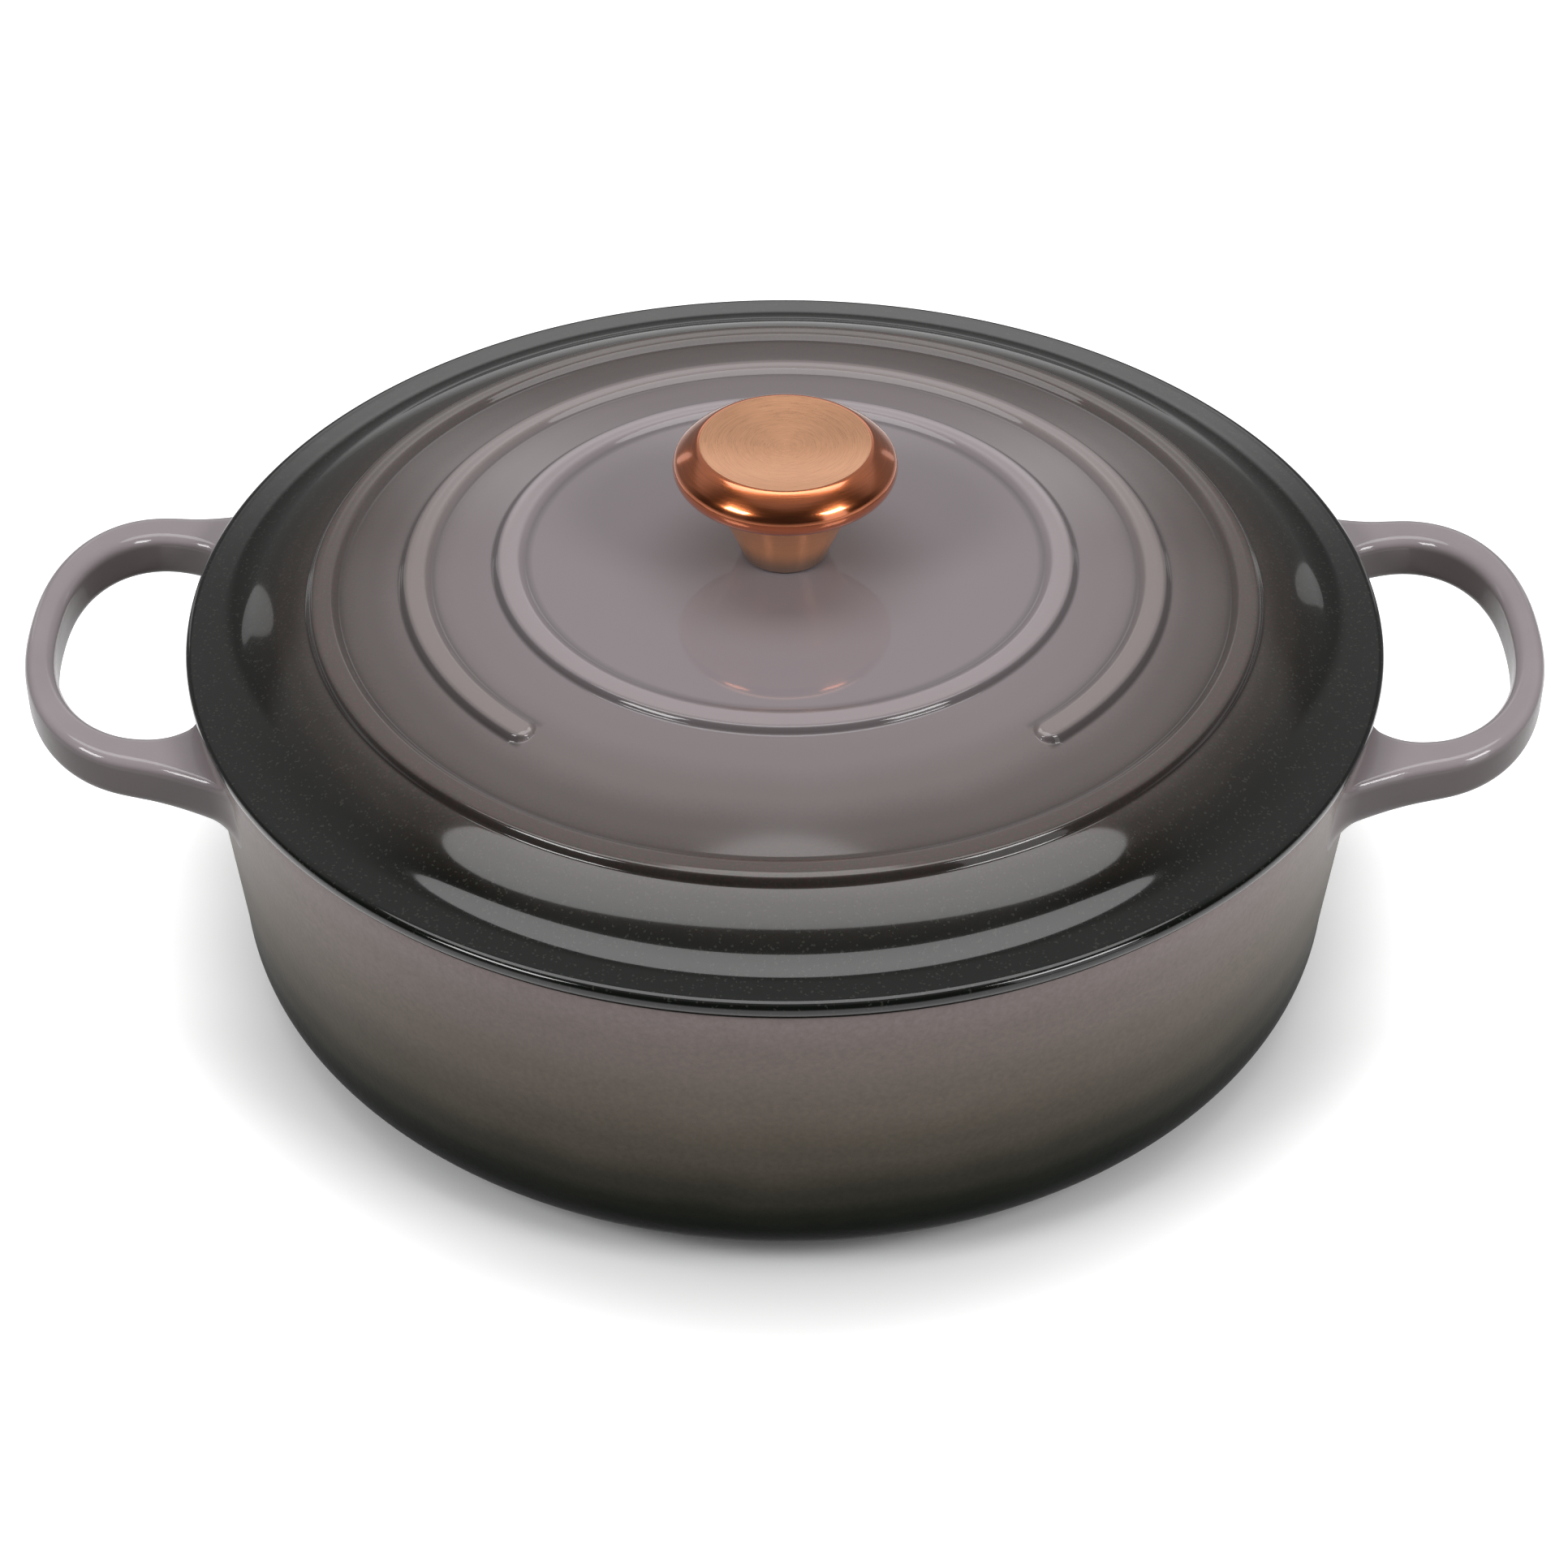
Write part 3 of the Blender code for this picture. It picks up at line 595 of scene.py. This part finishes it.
def ladder(around, start):
    """A cap that bends with the wall: rungs from the top to the bottom of a handle's end. They
    stand upright on the right handle. On the left one, whose outline runs back, they slant."""
    rungs = []
    for k in range(-1, around // 2 - 2):
        corners = (k, k + 1, around - 4 - k, around - 3 - k)
        rungs.append([start + corner % around for corner in corners])
    return rungs


def skin(name, rows, finish, body, ends):
    """A smooth closed mesh through rows of points, each row a loop. The first and the last row
    are joined to each other, capped, or closed by ladders."""
    grid = np.asarray(rows, float)
    count, around = grid.shape[:2]
    first = np.arange(count if ends == "joined" else count - 1)
    second = (first + 1) % count
    here = np.arange(around)
    following = (here + 1) % around
    faces = np.stack([
        first[:, None] * around + here,
        second[:, None] * around + here,
        second[:, None] * around + following,
        first[:, None] * around + following,
    ], axis=-1).reshape(-1, 4).tolist()
    last = (count - 1) * around
    if ends == "capped":
        faces.append(list(range(around)))
        faces.append([last + k for k in reversed(range(around))])
    if ends == "laddered":
        faces += ladder(around, 0)
        faces += [rung[::-1] for rung in ladder(around, last)]
    mesh = bpy.data.meshes.new(name)
    mesh.from_pydata(grid.reshape(-1, 3).tolist(), [], faces)
    mesh.materials.append(finish)
    mesh.shade_smooth()
    piece = bpy.data.objects.new(name, mesh)
    bpy.context.scene.collection.objects.link(piece)
    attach(piece, body)
    return piece


def turned_rows(profile, angles):
    """The profile's points turned round the axis. They run down the outer side."""
    cosines, sines = np.cos(angles), np.sin(angles)
    return [
        np.stack([radius * cosines, radius * sines, np.full_like(cosines, level)], axis=-1)
        for radius, level in profile
    ]


def full_turn(steps):
    return np.arange(steps) * math.tau / steps


# Pot


def wall_radius(height):
    """Outside radius of the pot above its corner."""
    share = (height - CORNER_HEIGHT) / (POT_HEIGHT - CORNER_HEIGHT)
    return WALL_FOOT_RADIUS + (POT_RIM_RADIUS - WALL_FOOT_RADIUS) * share


def pot_profile():
    """From the middle of the floor, up the inside, over the rim, down the outside."""
    corner_top = CORNER_HEIGHT + POT_FLOOR
    inner_foot = wall_radius(corner_top) - POT_WALL
    inner_base = BASE_RADIUS - POT_WALL / 2
    inner_corner = (inner_foot - inner_base, CORNER_HEIGHT)
    corner = (WALL_FOOT_RADIUS - BASE_RADIUS, CORNER_HEIGHT)
    top = POT_HEIGHT - POT_RIM_ROUND
    rounding = (POT_RIM_ROUND, POT_RIM_ROUND)
    inner_rim = POT_RIM_RADIUS - POT_WALL + POT_RIM_ROUND
    outer_rim = POT_RIM_RADIUS - POT_RIM_ROUND
    profile = [(POT_CAP_RADIUS, POT_FLOOR)]
    profile += arc(
        (inner_base, corner_top), inner_corner, 270, 360, INNER_CORNER_FACETS, CORNER_POWER
    )
    for level in spaced(corner_top, top, INNER_WALL_ROWS)[:-1]:
        profile.append((wall_radius(level) - POT_WALL, level))
    profile += arc((inner_rim, top), rounding, 180, 90, RIM_FACETS)
    profile += arc((outer_rim, top), rounding, 90, 0, RIM_FACETS)
    for level in spaced(top, CORNER_HEIGHT, OUTER_WALL_ROWS)[:-1]:
        profile.append((wall_radius(level), level))
    profile += arc((BASE_RADIUS, CORNER_HEIGHT), corner, 0, -90, CORNER_FACETS, CORNER_POWER)
    profile.append((POT_CAP_RADIUS, 0.0))
    return profile


HANDLE_ROOT_HEIGHT = POT_HEIGHT - HANDLE_DROP
ROOT_RADIUS = wall_radius(HANDLE_ROOT_HEIGHT)


def root_spread(distance, amount):
    """How much the handle swells towards the wall, before the small fillet at the wall itself."""
    return amount * max(1 - distance / ROOT_REACH, 0.0) ** 2


def wall_fillet(distance, radius):
    """A fillet that almost lies flat on the wall, and ends just under its surface."""
    distance = max(distance, -FILLET_SINK)
    inset = min(max(radius - distance, 0.0), FILLET_SWEEP * radius)
    left = math.sqrt(radius ** 2 - inset ** 2)
    return radius - left + (inset / left) * max(radius - inset - distance, 0.0)


def superellipse(centre, depth, half_width, power, angle):
    """One point of a handle's outline, as seen from above."""
    return arc((centre, 0.0), (depth, half_width), angle, angle, 1, power)[0]


def hole_edge(distance):
    """The hole's edge at a distance from the wall, between the wall and its widest place."""
    low, high = 90.0, 180.0
    for _ in range(HALVINGS):
        middle = (low + high) / 2
        x, y = superellipse(HOLE_CENTRE, HOLE_DEPTH, HOLE_HALF_WIDTH, HOLE_POWER, middle)
        if math.hypot(x, y) - ROOT_RADIUS > distance:
            low = middle
        else:
            high = middle
    return math.asin(y / math.hypot(x, y))


def section_outline(width, above, below, growth):
    """Rounded oblong: shares of the width from the hole outwards, and heights off the middle."""
    upper = min(HANDLE_EDGE_ROUND, ROUNDING_SHARE * width)
    lower = min(HANDLE_EDGE_ROUND + growth, ROUNDING_SHARE * width)
    corners = (
        (1 - upper / width, above - upper, upper),
        (upper / width, above - upper, upper),
        (lower / width, lower - below, lower),
        (1 - lower / width, lower - below, lower),
    )
    points = []
    for k, (centre, level, radius) in enumerate(corners):
        rounding = (radius / width, radius)
        points += arc((centre, level), rounding, 90 * k, 90 * k + 90, BAR_EDGE_FACETS)
        across, height = points[-1]
        following = corners[(k + 1) % 4]
        if k in (0, 2):
            flat = spaced(centre, following[0], BAR_FLAT_FACETS)
            points += [(place, height) for place in flat[:-1]]
        else:
            side = spaced(level, following[1], BAR_SIDE_FACETS)
            points += [(across, place) for place in side[:-1]]
    return points


def bar_outline(width, distance):
    """The section's outline at a distance from the wall."""
    above = HANDLE_THICKNESS / 2 + root_spread(distance, ROOT_RISE)
    below = HANDLE_THICKNESS / 2 + root_spread(distance, ROOT_DEEPENING)
    above += wall_fillet(distance, TOP_FILLET)
    below += wall_fillet(distance, ROOT_FILLET)
    return section_outline(width, above, below, root_spread(distance, ROOT_ROUNDING))


def handle_height(x):
    return HANDLE_ROOT_HEIGHT + (x - ROOT_RADIUS) * math.tan(HANDLE_TILT)


def root_section(share, sunk=0.0):
    """A section that follows the wall: share 0 is at the wall and 1 at the hole's widest place.
    At the wall it may be sunk under the surface."""
    hole_distance = share * (math.hypot(HOLE_CENTRE, HOLE_HALF_WIDTH) - ROOT_RADIUS) - sunk
    edge_distance = share * (math.hypot(HANDLE_CENTRE, HANDLE_HALF_WIDTH) - ROOT_RADIUS) - sunk
    inner_angle = hole_edge(hole_distance)
    narrowing = root_spread(hole_distance, HOLE_NARROWING)
    inner_angle -= (narrowing + wall_fillet(hole_distance, ROOT_FILLET)) / ROOT_RADIUS
    edge_width = HANDLE_HALF_WIDTH + root_spread(edge_distance, ROOT_WIDENING)
    edge_width += wall_fillet(edge_distance, ROOT_FILLET)
    outer_angle = math.asin(edge_width / (ROOT_RADIUS + edge_distance))
    width = (outer_angle - inner_angle) * (ROOT_RADIUS + edge_distance)
    points = []
    for across, height in bar_outline(width, (hole_distance + edge_distance) / 2):
        distance = hole_distance + (edge_distance - hole_distance) * across
        angle = inner_angle + (outer_angle - inner_angle) * across
        flat_radius = ROOT_RADIUS + distance
        level = handle_height(flat_radius * math.cos(angle)) + height
        radius = flat_radius + (wall_radius(level) - ROOT_RADIUS) * (1 - share)
        points.append((radius * math.cos(angle), radius * math.sin(angle), level))
    return points


def loop_section(angle):
    """A section across the bar where it bends round the hole, angle 0 at the tip."""
    inner = Vector(superellipse(HOLE_CENTRE, HOLE_DEPTH, HOLE_HALF_WIDTH, HOLE_POWER, angle))
    outer = Vector(
        superellipse(HANDLE_CENTRE, HANDLE_DEPTH, HANDLE_HALF_WIDTH, HANDLE_POWER, angle)
    )
    outer.y += root_spread(outer.length - ROOT_RADIUS, ROOT_WIDENING)
    inner.y -= root_spread(inner.length - ROOT_RADIUS, HOLE_NARROWING)
    width = (outer - inner).length
    points = []
    for across, height in bar_outline(width, ((outer + inner) / 2).length - ROOT_RADIUS):
        place = inner.lerp(outer, across)
        points.append((place.x, place.y, handle_height(place.x) + height))
    return points


def handle_sections(side):
    """A whole handle: from inside the wall to the tip, then mirrored across the middle."""
    half = [root_section(0.0, ROOT_SINK), root_section(0.0, FILLET_SINK)]
    half += [root_section((k / ROOT_STATIONS) ** ROOT_CROWDING) for k in range(ROOT_STATIONS)]
    half += [loop_section(90.0 * (1 - k / LOOP_STATIONS)) for k in range(LOOP_STATIONS)]
    mirrored = [[(x, -y, z) for x, y, z in section] for section in reversed(half)]
    sections = [*half, loop_section(0.0), *mirrored]
    if side < 0:
        return [[(-x, y, z) for x, y, z in reversed(section)] for section in sections]
    return sections


def make_pot():
    rows = turned_rows(pot_profile(), full_turn(POT_STEPS))
    shell = skin("pot_shell", rows, pot_enamel(), "pot", "capped")
    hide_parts("pot_body")
    finish = handle_enamel()
    for name, side in (("right_handle", 1), ("left_handle", -1)):
        handle = skin(name, handle_sections(side), finish, "pot", "laddered")
        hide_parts("pot_body")


# Lid


def lid_slopes():
    """Radius and slope of the lid's top, from the rim inwards, without the rings."""
    return (
        (LID_RADIUS, FLANGE_SLOPE),
        (CREASE_RADIUS, FLANGE_SLOPE),
        (SHOULDER_END, SHOULDER_SLOPE),
        (SHOULDER_START + SHOULDER_TURN, SHOULDER_TOP_SLOPE),
        (SHOULDER_START, DOME_SLOPE),
        (RING_OUTER[0], DOME_SLOPE),
        (RING_INNER[0], CROWN_SLOPE),
        (0.0, 0.0),
    )


def lid_height(radius):
    """Height of the lid's top at a radius. The slope changes evenly between its knots."""
    height = LID_SEAT + FLANGE_THICKNESS - LID_EDGE_DEPTH * math.tan(FLANGE_SLOPE)
    slopes = lid_slopes()
    for (outer, outer_slope), (inner, inner_slope) in zip(slopes, slopes[1:]):
        reach = max(radius, inner)
        if reach >= outer:
            break
        turn = (inner_slope - outer_slope) / (outer - inner)
        slope = outer_slope + turn * (outer - reach)
        if inner_slope == outer_slope:
            height += math.tan(slope) * (outer - reach)
        else:
            height += math.log(math.cos(outer_slope) / math.cos(slope)) / turn
    return height


def ring_shape(across):
    """Height of a raised ring, as a share, over its width from the inner to the outer foot."""
    rise = RING_SHOULDER * smooth(across, 0.0, RING_SHOULDER_END)
    rise += (1 - RING_SHOULDER) * smooth(across, RING_SHOULDER_END, RING_TOP_START)
    fall = np.clip((across - RING_TOP_END) / (1 - RING_TOP_END), 0.0, 1.0) ** 2
    return rise * (1 - fall)


def ring_tone_and_shade(across):
    """How the enamel runs on a ring, plus painted shade and light: below 0 where it pools at the
    feet and on the outer side, painted darker, above 0 on the top, painted paler.
    """
    inner_foot = np.exp(-((across - 0.02) / 0.09) ** 2)
    outer_side = smooth(across, 0.84, 0.90) * (1 - smooth(across, 1.0, 1.10))
    top = smooth(across, 0.18, 0.34) * (1 - smooth(across, 0.74, 0.84))
    return TOP_THINNING_AND_LIGHT * top - FOOT_POOLING_AND_SHADE * inner_foot - SIDE_POOLING_AND_SHADE * outer_side


def open_ring(radius, angles):
    """The middle ring's share of height and its tone of pooled enamel and painted shade and light:
    it ends in two rounded noses in front.
    """
    nose = RING_WIDTH / 2
    away = np.abs((angles + math.pi / 2 + math.pi) % math.tau - math.pi)
    ahead = np.clip((RING_GAP_ANGLE - away) * OPEN_RING / nose + 1, 0.0, 1.0)
    across = np.sqrt(1 - ahead ** 2)
    offset = (radius - OPEN_RING) / nose
    inside = np.abs(offset) < across
    share = 0.5 + 0.5 * offset / np.where(inside, across, 1.0)
    height = np.where(inside, ring_shape(share) * np.sqrt(1 - ahead ** NOSE_POWER), 0.0)
    plain = (radius - RING_INNER[1]) / RING_WIDTH
    tone = np.where(ahead < 1.0, ring_tone_and_shade(np.where(inside, share, plain)), 0.0)
    return height, tone * (1 - ahead ** NOSE_POWER)


def lid_angles():
    """Columns round the lid, close together at the open ring's two noses."""
    angles = list(full_turn(LID_STEPS))
    for side in (-1, 1):
        nose = side * RING_GAP_ANGLE - math.pi / 2
        angles += [nose + NOSE_STEP * k for k in range(-NOSE_STEPS, NOSE_STEPS + 1)]
    return np.unique(np.round(np.mod(angles, math.tau), 5))


def lid_top_radii():
    """Rows of the lid's upper face, from the bore to the flange."""
    radii = [BORE_RADIUS, *spaced(BORE_RADIUS, RING_INNER[0], CROWN_ROWS)]
    for k, outer in enumerate(RING_OUTER):
        radii += spaced(RING_INNER[k], outer, RING_ROWS)
        if k < 2:
            radii += spaced(outer, RING_INNER[k + 1], VALLEY_ROWS)
    radii += spaced(SHOULDER_START, CREASE_RADIUS, SHOULDER_ROWS)
    radii += spaced(CREASE_RADIUS, LID_RADIUS - LID_EDGE_DEPTH, FLANGE_ROWS)[:-1]
    return radii


def lid_top_rows(angles):
    """The lid's upper face with its rings raised on it, and the tone of pooled enamel and painted
    shade and light at each point.
    """
    rows, tones = [], []
    for radius in lid_top_radii():
        height, tone = open_ring(radius, angles)
        levels = lid_height(radius) + RING_HEIGHTS[1] * height
        for k in (0, 2):
            across = (radius - RING_INNER[k]) / RING_WIDTH
            levels += RING_HEIGHTS[k] * ring_shape(across)
            tone = tone + ring_tone_and_shade(across)
        rows.append(np.stack([radius * np.cos(angles), radius * np.sin(angles), levels], axis=-1))
        tones.append(tone)
    return rows, tones


def lid_under_profile():
    """Round the rim, along the flange's underside, round the lip and in to the bore."""
    half_edge = (lid_height(LID_RADIUS - LID_EDGE_DEPTH) - LID_SEAT) / 2
    profile = arc(
        (LID_RADIUS - LID_EDGE_DEPTH, LID_SEAT + half_edge), (LID_EDGE_DEPTH, half_edge),
        90, -90, LID_EDGE_FACETS, LID_EDGE_POWER,
    )
    inner = LIP_RADIUS - LIP_WALL
    low = LIP_FOOT + LIP_ROUND
    rounding = (LIP_ROUND, LIP_ROUND)
    profile.append((LIP_RADIUS, LID_SEAT))
    profile += arc((LIP_RADIUS - LIP_ROUND, low), rounding, 0, -90, LIP_FACETS)
    profile += arc((inner + LIP_ROUND, low), rounding, -90, -180, LIP_FACETS)
    for radius in spaced(inner - LIP_ROUND, BORE_RADIUS, UNDERSIDE_ROWS):
        profile.append((radius, lid_height(radius) - LID_WALL))
    return profile


def centring_pad(name, angle, finish):
    """A small flattened ball of enamel that stands out of the lip."""
    place = LIP_RADIUS + PAD_STAND - PAD_RADIUS
    centre = (place * math.cos(angle), place * math.sin(angle), LIP_FOOT + PAD_RADIUS / 2)
    outline = arc((0.0, 0.0), (PAD_RADIUS, PAD_RADIUS / 2), 88, -88, PAD_FACETS)
    rows = np.array(turned_rows(outline, full_turn(PAD_STEPS))) + np.array(centre)
    return skin(name, rows, finish, "lid_with_knob", "capped")


def make_lid():
    finish = lid_enamel()
    angles = lid_angles()
    top, tones = lid_top_rows(angles)
    under = turned_rows(lid_under_profile(), angles)
    lid = skin("ringed_lid", top + under, finish, "lid_with_knob", "joined")
    tones += [np.zeros_like(angles)] * len(under)
    # The rings' tone of pooled enamel and painted shade and light, kept on the mesh's points.
    pooling = lid.data.attributes.new("pooling", "FLOAT", "POINT")
    pooling.data.foreach_set("value", np.concatenate(tones))
    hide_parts("lid")
    for k in range(PAD_COUNT):
        angle = math.tau * k / PAD_COUNT + math.pi / 2
        pad = centring_pad(f"centring_pad_{k + 1}", angle, finish)
        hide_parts("lid")


# Knob


def stem_profile():
    """From the spigot's top, down the cone to the foot, then up inside the tapped hole."""
    top = STEM_HEIGHT + SPIGOT_HEIGHT
    points = [(KNOB_CAP_RADIUS, top), (SPIGOT_RADIUS, top), (SPIGOT_RADIUS, STEM_HEIGHT)]
    points.append((STEM_TOP_RADIUS - STEM_FOOT_ROUND / 2, STEM_HEIGHT))
    for k in range(STEM_ROWS + 1):
        share = 1 - k / STEM_ROWS
        height = STEM_FOOT_ROUND + (STEM_HEIGHT - 1.5 * STEM_FOOT_ROUND) * share
        straight = STEM_FOOT_RADIUS + (STEM_TOP_RADIUS - STEM_FOOT_RADIUS) * share
        points.append((straight - 4 * STEM_HOLLOWING * share * (1 - share), height))
    centre = (STEM_FOOT_RADIUS - STEM_FOOT_ROUND, STEM_FOOT_ROUND)
    points += arc(centre, (STEM_FOOT_ROUND, STEM_FOOT_ROUND), -20, -90, STEM_FOOT_FACETS)
    points += [(BORE_RADIUS, 0.0), (BORE_RADIUS, THREAD_DEPTH), (KNOB_CAP_RADIUS, THREAD_DEPTH)]
    return [(radius, STEM_FOOT + level) for radius, level in points]


def bent(start, slope, bends):
    """Points along a run of bends that turn downwards, on from a place of known slope."""
    points = []
    radius, height = start
    for size, end, facets in bends:
        for angle in spaced(slope, end, facets):
            across = size * (math.sin(angle) - math.sin(slope))
            fall = size * (math.cos(slope) - math.cos(angle))
            points.append((radius + across, height - fall))
        radius, height = points[-1]
        slope = end
    return points


def head_profile():
    """From the middle of the dish to its edge, round the widest place and in to the socket."""
    summit = HEAD_BENDS[0][0] * (1 - math.cos(DISH_EDGE_SLOPE))
    edge = HEAD_TOP - HEAD_FOOT - summit
    points = [
        (DISH_RADIUS * share, edge - DISH_DEPTH * (1 - share ** 2))
        for share in spaced(0.01, 1.0, DISH_ROWS)
    ]
    points += bent(points[-1], -DISH_EDGE_SLOPE, HEAD_BENDS)
    under = points[-1]
    for share in spaced(0.0, 1.0, HEAD_FOOT_ROWS):
        points.append(between(under, (STEM_TOP_RADIUS, 0.0), share))
    socket = SPIGOT_RADIUS + SPIGOT_CLEARANCE
    points += [(socket, 0.0), (socket, SPIGOT_HEIGHT), (KNOB_CAP_RADIUS, SPIGOT_HEIGHT)]
    return [(radius, HEAD_FOOT + level) for radius, level in points]


def make_knob():
    around = full_turn(KNOB_STEPS)
    head = turned_rows(head_profile(), around)
    head = skin("knob_dish", head, head_copper(), "lid_with_knob", "capped")
    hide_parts("knob_head")
    stem = turned_rows(stem_profile(), around)
    stem = skin("knob_foot", stem, stem_copper(), "lid_with_knob", "capped")
    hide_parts("knob_stem")


def finish_fastening():
    """The hidden screw and washers keep their solids and get plain steel."""
    steel = plain_steel("screw_steel", SCREW_STEEL, 0.32)
    spring = plain_steel("spring_steel", SPRING_STEEL, 0.40)
    for name, finish in (("knob_screw", steel), ("flat_washer", steel), ("spring_washer", spring)):
        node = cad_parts[name]
        node.data.materials.clear()
        node.data.materials.append(finish)


# Stage


def floor_finish():
    """White ground that keeps the shadow. Mirrors see it duller far off, and fill light too."""
    finish = Finish("floor_white")
    far = finish.radius().fade(0.30, 0.70)
    front = (0.0 - finish.part_of(finish.place, "Y")).fade(0.35, 0.60)
    mirrored = NEAR_FLOOR_MIRRORED + (FAR_FLOOR_MIRRORED - NEAR_FLOOR_MIRRORED) * far
    mirrored = mirrored * (1.0 - (1.0 - FRONT_LIGHT) * front)
    seen = finish.ray("Camera") + finish.ray("Transmission") + finish.ray("Glossy") * mirrored
    open_sky = finish.node("ShaderNodeAmbientOcclusion", None, {"Distance": SHADOW_REACH}, "AO")
    glow = FLOOR_GLOW * seen * open_sky * open_sky
    return finish.shader(
        Base_Color=finish.mix(seen, FLOOR_FILL, FLOOR_WHITE),
        Roughness=0.85 + 0.1 * finish.noise(0.30),
        Specular_IOR_Level=0.0,
        Emission_Color=finish.scaled((1.0, 1.0, 1.0), glow),
        Emission_Strength=1.0,
    )


def make_floor():
    half = FLOOR_HALF
    corners = [(-half, -half, 0.0), (half, -half, 0.0), (half, half, 0.0), (-half, half, 0.0)]
    mesh = bpy.data.meshes.new("floor")
    mesh.from_pydata(corners, [], [(0, 1, 2, 3)])
    mesh.materials.append(floor_finish())
    floor = bpy.data.objects.new("floor", mesh)
    bpy.context.scene.collection.objects.link(floor)


def make_world():
    """White to the camera. Mirrors see a dim room with a white card low behind the object."""
    world = bpy.data.worlds.new("studio")
    bpy.context.scene.world = world
    world.use_nodes = True
    finish = Finish("studio", world.node_tree)
    direction = finish.node("ShaderNodeTexCoord", output="Generated")
    across = finish.part_of(direction, "X")
    behind = finish.part_of(direction, "Y").fade(-0.1, 0.4)
    rise = finish.part_of(direction, "Z")
    middle = 1.0 - (across * across).fade(0.03, 0.08)
    card = middle * rise.fade(0.25, 0.41) * (1.0 - rise.fade(0.44, 0.55))
    upper = rise.fade(0.45, 0.55) * (1.0 - rise.fade(0.75, 0.85))
    back = BACK_LIGHT + (UPPER_BACK_LIGHT - BACK_LIGHT) * upper
    back = back + (BACK_CARD_LIGHT - BACK_LIGHT) * card
    ceiling = CEILING_LIGHT * rise.fade(0.85, 0.95)
    mirrored = FRONT_LIGHT + (back - FRONT_LIGHT) * behind + ceiling
    straight = finish.ray("Camera") + finish.ray("Transmission")
    glossy = finish.ray("Glossy")
    strength = straight + glossy * mirrored + FILL_LIGHT * (1.0 - straight - glossy)
    background = finish.node("ShaderNodeBackground", None, {"Strength": strength})
    finish.send(background, "ShaderNodeOutputWorld")


def soft_light(name, place, size, radiance, target=LIT_MIDDLE, shape="RECTANGLE"):
    """An even light: its radiance is what a mirror would show."""
    light = bpy.data.lights.new(name, "AREA")
    light.shape = shape
    light.size, light.size_y = size
    area = size[0] * size[1] * (math.pi / 4 if shape == "ELLIPSE" else 1.0)
    light.energy = radiance * WATTS_AT_WHITE * area
    lamp = bpy.data.objects.new(name, light)
    lamp.location = place
    direction = Vector(target) - Vector(place)
    lamp.rotation_euler = direction.to_track_quat("-Z", "Y").to_euler()
    bpy.context.scene.collection.objects.link(lamp)


def make_lights():
    """One large softbox overhead, a window on each side behind, two softboxes in front, and a
    panel under each of those, of which the right one is the brighter."""
    soft_light(
        "overhead_softbox", place=(0.0, 0.27, 1.30), size=(1.48, 0.72), radiance=2.1,
        target=(0.0, 0.27, 0.0), shape="ELLIPSE",
    )
    soft_light(
        "left_window", place=(-0.87, 1.0, 0.38), size=(0.15, 0.50), radiance=0.5, shape="ELLIPSE"
    )
    soft_light(
        "right_window", place=(0.78, 1.0, 0.28), size=(0.12, 0.42), radiance=0.4, shape="ELLIPSE"
    )
    for name, side, panel_light in (("left", -1, 0.05), ("right", 1, 0.8)):
        soft_light(
            name + "_softbox", place=(side * 0.99, -0.73, 1.11), size=(0.54, 0.44), radiance=8.5
        )
        soft_light(
            name + "_panel", place=(side * 1.08, -0.96, 0.45), size=(0.6, 0.9),
            radiance=panel_light, target=(0.0, 0.0, 0.40),
        )


def make_camera():
    data = bpy.data.cameras.new("camera")
    data.lens = FOCAL_PIXELS / IMAGE_PIXELS * SENSOR
    data.sensor_width = SENSOR
    data.shift_x = CAMERA_SHIFT
    camera = bpy.data.objects.new("camera", data)
    down = Matrix.Rotation(math.pi / 2 - CAMERA_DOWN, 4, "X")
    roll = Matrix.Rotation(CAMERA_ROLL, 4, "Z")
    camera.matrix_world = Matrix.Translation(CAMERA_PLACE) @ down @ roll
    bpy.context.scene.collection.objects.link(camera)
    bpy.context.scene.camera = camera


def main():
    make_camera()
    make_pot()
    make_lid()
    make_knob()
    finish_fastening()
    make_floor()
    make_world()
    make_lights()
    bpy.context.scene.view_settings.view_transform = "Standard"


main()
